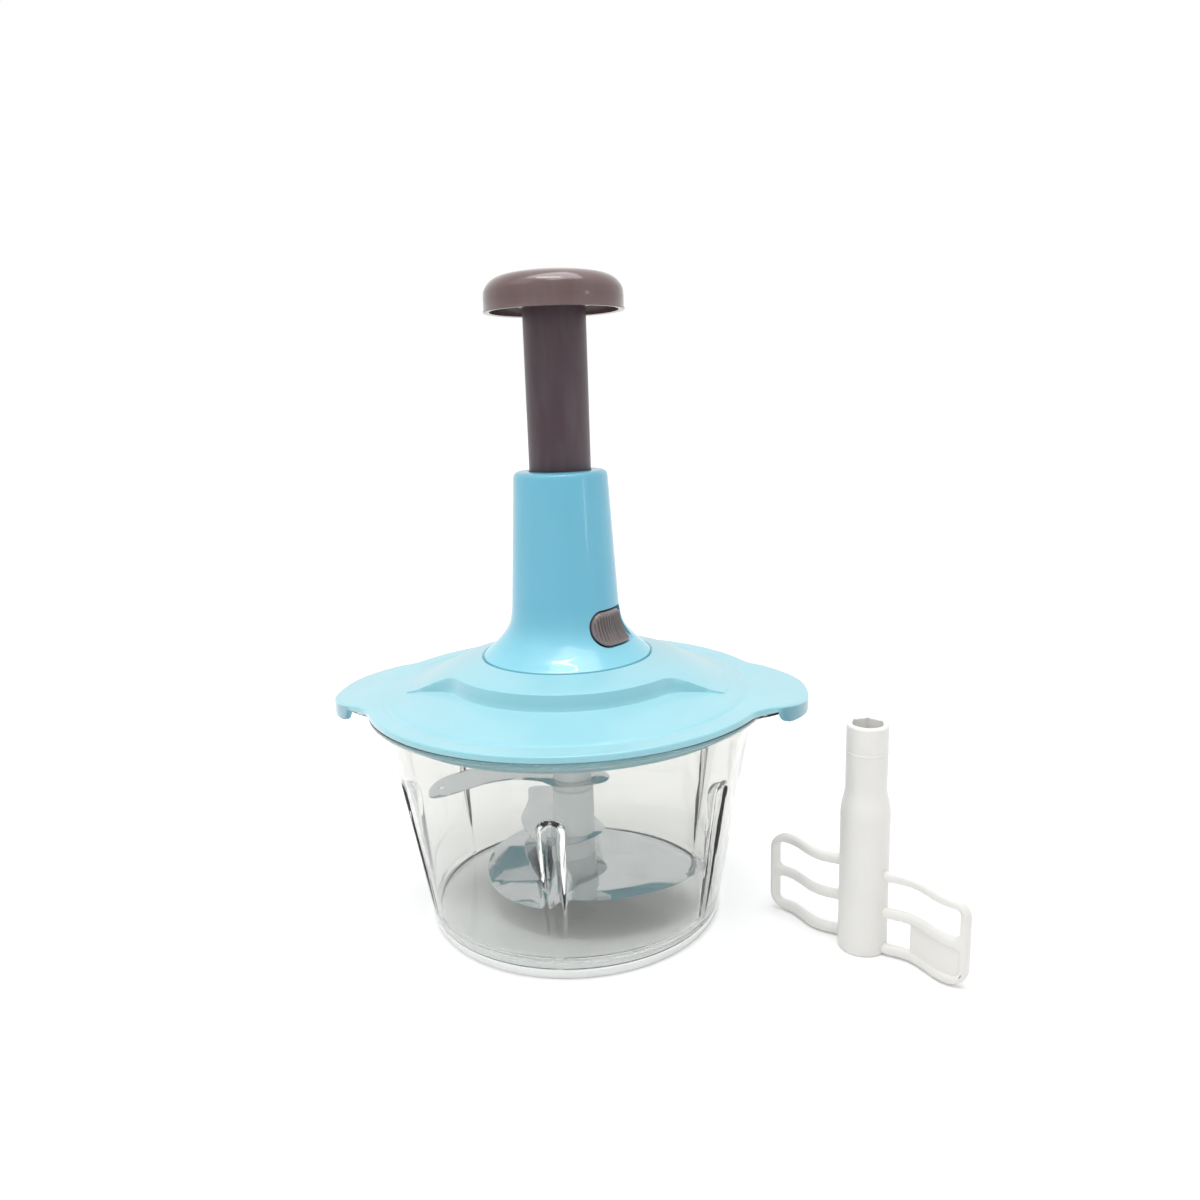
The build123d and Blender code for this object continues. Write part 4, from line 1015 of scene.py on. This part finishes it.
def dish_blade(blade):
    """Bends the short side of a blade down towards its edge, in a soft dish."""
    steps = range(DISH_SLICES)
    slice_across(blade, [-DISH_START - DISH_DEEP * i / DISH_SLICES for i in steps], Y)
    slice_across(blade, [DISH_SIDE - DISH_WIDE * i / DISH_SLICES for i in steps], X)
    for vertex in blade.data.vertices:
        deep = clamp((-vertex.co.y - DISH_START) / DISH_DEEP)
        across = clamp((DISH_SIDE - vertex.co.x) / DISH_WIDE)
        vertex.co.z -= DISH_DROP * deep * across * across * (3 - 2 * across)


def make_blade(name, node, level, reach, turns, grind):
    outline = through([polar(reach * share, a) for a, share in turns], 10, closed=True)
    if sum(x * v - u * y for (x, y), (u, v) in zip(outline, outline[1:])) < 0:
        outline.reverse()
    layers = (*BLADE_LAYERS, (BLADE_T, grind), (BLADE_T, grind + GRIND_END))
    blade = lofted(name, [blade_ring(outline, level + height, inset) for height, inset in layers])
    if node == "lower_blade":
        dish_blade(blade)
    drill(blade, DRILL_SIDES, BLADE_EYE_R, DRILL_DEPTH, (0, 0, level))
    if node == "upper_blade":
        drill(blade, DRILL_SIDES, BLADE_HOLE_R, DRILL_DEPTH, (*polar(BLADE_HOLE_AT, BLADE_HOLE_ANGLE), level))
    finish_piece(blade, "blades", "steel", node, smooth=20)


def make_blades():
    names = (("low_blade", "lower_blade"), ("mid_blade", "middle_blade"), ("high_blade", "upper_blade"))
    for (name, node), *sizes in zip(names, BLADE_Z, BLADE_REACH, BLADE_TURNS, BLADE_GRIND):
        make_blade(name, node, *sizes)


# ---- whisk
def whisk_tube():
    top = rounded([(WHISK_TOP_R, 90), (WHISK_TOP_R, WHISK_H, 1.3), (WHISK_MOUTH_R, WHISK_H, 0.5),
                   (WHISK_MOUTH_R, 92)], 4)
    foot = rounded([(WHISK_PIN_R, 0), (WHISK_FOOT_R, 0, 1.1), (WHISK_FOOT_R, 30)], 4)
    pin = [(0, WHISK_PIN_TOP), (WHISK_PIN_R, WHISK_PIN_TOP)]
    bore = [(WHISK_BORE_R, 85), (WHISK_BORE_R, WHISK_FLOOR), (0, WHISK_FLOOR)]
    profile = [*pin, *foot, *through(WHISK_SHOULDER, 5), *WHISK_SEAM, *top, *bore]
    tube = turned("whisk_tube", profile, 96)
    middle = WHISK_H - HEX_DEPTH / 2 + HEX_PAST / 2
    drill(tube, 6, HEX_AF / sqrt(3), HEX_DEPTH + HEX_PAST, (0, 0, middle), pi / 6)
    return tube


def wave(s):
    if s <= WAVE_START:
        return 0.0
    return WAVE * sin(2 * pi * (s - WAVE_START) / (PADDLE_REACH - WAVE_START))


def upright_plate(name, s_low, s_high, z_low, z_high):
    """Flat plate in the plane of the paddle, with its face along -Y."""
    plate = primitive(name, "plane", size=1, rotation=(pi / 2, 0, 0))
    edit(plate)
    bpy.ops.transform.resize(value=(s_high - s_low, 1, z_high - z_low), center_override=(0, 0, 0))
    bpy.ops.transform.translate(value=((s_low + s_high) / 2, 0, (z_low + z_high) / 2))
    leave()
    settle(plate)
    return plate


def round_corners(plate, corners, width, segments=5):
    """Rounds a plate's corners at the given (s, z) places."""
    pick(plate, lambda v: any(hypot(v.co.x - s, v.co.z - z) < 0.05 for s, z in corners))
    bpy.ops.mesh.bevel(offset=width, segments=segments, affect="VERTICES")
    leave()


def thicken(plate, thickness, soft, segments=4):
    """Gives a plate its wall and soft edges, then swings it from side to side."""
    edit(plate)
    bpy.ops.mesh.dissolve_limited(angle_limit=radians(1))
    leave()
    apply(plate, "SOLIDIFY", thickness=thickness, offset=0)
    apply(plate, "BEVEL", width=soft, segments=segments, limit_method="ANGLE", angle_limit=radians(60),
          use_clamp_overlap=False)
    slice_across(plate, [8 + 1.5 * i for i in range(27)], X)
    for vertex in plate.data.vertices:
        vertex.co.y += wave(vertex.co.x)


def paddle(with_web):
    start, end = PADDLE_START, PADDLE_REACH - POST_W
    inner = start + 0.5
    middle = (PADDLE_LOW + PADDLE_TOP) / 2
    lower = (PADDLE_LOW + BAR_H, middle - BAR_H / 2)
    upper = (middle + BAR_H / 2, PADDLE_TOP - BAR_H)
    plate = upright_plate("paddle", start, PADDLE_REACH, PADDLE_LOW, PADDLE_TOP)
    round_corners(plate, [(PADDLE_REACH, PADDLE_LOW), (PADDLE_REACH, PADDLE_TOP)], PADDLE_CORNER, 9)
    slice_across(plate, [*lower, *upper], Z)
    slice_across(plate, [inner, end], X)

    def in_window(face):
        s, z = face.center.x, face.center.z
        return inner < s < end and (lower[0] < z < lower[1] or upper[0] < z < upper[1])
    pick(plate, in_window, "FACE")
    bpy.ops.mesh.delete(type="FACE")
    leave()
    round_corners(plate, [(end, z) for z in (*lower, *upper)], BAR_H / 2)
    thicken(plate, PADDLE_T, BAR_SOFT)
    if not with_web:
        return plate
    web = upright_plate("web", WEB_START, end + 2, lower[0] - WEB_OVERLAP, lower[1] + WEB_OVERLAP)
    thicken(web, WEB_T, WEB_SOFT, 3)
    return joined(plate, web)


def make_whisk():
    whisk = whisk_tube()
    front, back = paddle(True), paddle(False)
    back.data.transform(Matrix.Rotation(pi, 4, "Z"))
    joined(whisk, front, back)
    whisk.name = whisk.data.name = "white_whisk"
    turn = Matrix.Rotation(radians(WHISK_TURN), 4, "Z")
    whisk.data.transform(Matrix.Translation((WHISK_X, WHISK_Y, 0)) @ turn)
    finish_piece(whisk, "whisk", "whisk_white", "whisk")


# ---- camera, floor and light
CAMERA_PLACE, YAW, PITCH, ROLL = (0.06210, -0.41555, 0.23327), 0.11156, 0.20775, 0.03217
LENS, SENSOR = 28.817, 36.0
FLOOR_GLOW, FLOOR_GLOW_REACH = (0.12, 0.42), (0.2, 1.6)      # under the object and far from it
WORLD_LOW, WORLD_HIGH, WORLD_SIDE = 0.48, 0.92, 0.20
LAMPS = (       # name, place, point it faces, size, power
    ("key", (-0.9, -0.5, 1.6), (0, 0, 0.1), (1.0, 1.0), 2),
    ("top", (0.1, -0.1, 1.5), (0, 0, 0), (1.0, 1.0), 12),
    ("ceiling_strip", (-0.02, -0.22, 1.15), (0, 0, 0.12), (0.42, 0.03), 1.2),
    ("side_strip", (1.0, -0.5, 0.30), (0, 0, 0.15), (0.05, 0.2), 0.2),
)


def make_camera():
    data = bpy.data.cameras.new("camera")
    data.lens, data.sensor_width = LENS, SENSOR
    data.clip_start, data.clip_end = 0.01, 50.0
    camera = bpy.data.objects.new("camera", data)
    turn = Matrix.Rotation(YAW, 4, "Z") @ Matrix.Rotation(-PITCH, 4, "X") @ Matrix.Rotation(ROLL, 4, "Y")
    camera.matrix_world = Matrix.Translation(CAMERA_PLACE) @ turn @ Matrix.Rotation(pi / 2, 4, "X")
    bpy.context.scene.collection.objects.link(camera)
    bpy.context.scene.camera = camera


def seen_plainly(tree):
    """1 for rays that show what lies behind the object, 0 for rays that light it."""
    path = tree.nodes.new("ShaderNodeLightPath").outputs
    seen = maths(tree, "MAXIMUM", path["Is Camera Ray"], path["Is Glossy Ray"])
    return maths(tree, "MAXIMUM", seen, path["Is Transmission Ray"])


def make_floor():
    floor = primitive("studio_floor", "plane", size=40)
    material, tree, shader = blank_material("White floor")
    away = chain(tree, "ShaderNodeVectorMath", {0: placed(tree)}, operation="LENGTH").outputs["Value"]
    glow = spread(tree, away, *FLOOR_GLOW_REACH, *FLOOR_GLOW)
    feed(shader, {"Base Color": (0.88, 0.88, 0.88, 1), "Roughness": 0.9, "Specular IOR Level": 0.1,
                  "Emission Color": WHITE, "Emission Strength": times(tree, seen_plainly(tree), glow)})
    floor.data.materials.append(material)


def make_world():
    """White where it is seen; where it gives light, a soft sky that is brighter overhead and to the left."""
    world = bpy.context.scene.world or bpy.data.worlds.new("world")
    bpy.context.scene.world = world
    world.use_nodes = True
    tree = world.node_tree
    parts = axes(tree, tree.nodes.new("ShaderNodeTexCoord").outputs["Generated"])
    height = spread(tree, parts["Z"], 0, 1, WORLD_LOW, WORLD_HIGH)
    sky = plus(tree, height, spread(tree, parts["X"], -1, 1, WORLD_SIDE, -WORLD_SIDE))
    white = maths(tree, "SUBTRACT", 1.0, sky)
    strength = plus(tree, sky, times(tree, white, seen_plainly(tree)))
    feed(tree.nodes["Background"], {"Color": WHITE, "Strength": strength})


def lamp(name, place, target, size, power):
    """Rectangular lamp that faces a point."""
    data = bpy.data.lights.new(name, "AREA")
    data.shape, data.energy = "RECTANGLE", power
    data.size, data.size_y = size
    light = bpy.data.objects.new(name, data)
    away = Vector(place) - Vector(target)
    light.matrix_world = Matrix.Translation(place) @ away.to_track_quat("Z", "Y").to_matrix().to_4x4()
    bpy.context.scene.collection.objects.link(light)


# ---- the whole
make_camera()
make_world()
make_floor()
for settings in LAMPS:
    lamp(*settings)
dress_frame()
for make in (make_base_mat, make_bowl, make_lid, make_gasket, make_tower, make_lock_button, make_cap,
             make_stem, make_return_spring, make_hub, make_blades, make_whisk):
    make()

bpy.context.scene.view_settings.view_transform = "Standard"
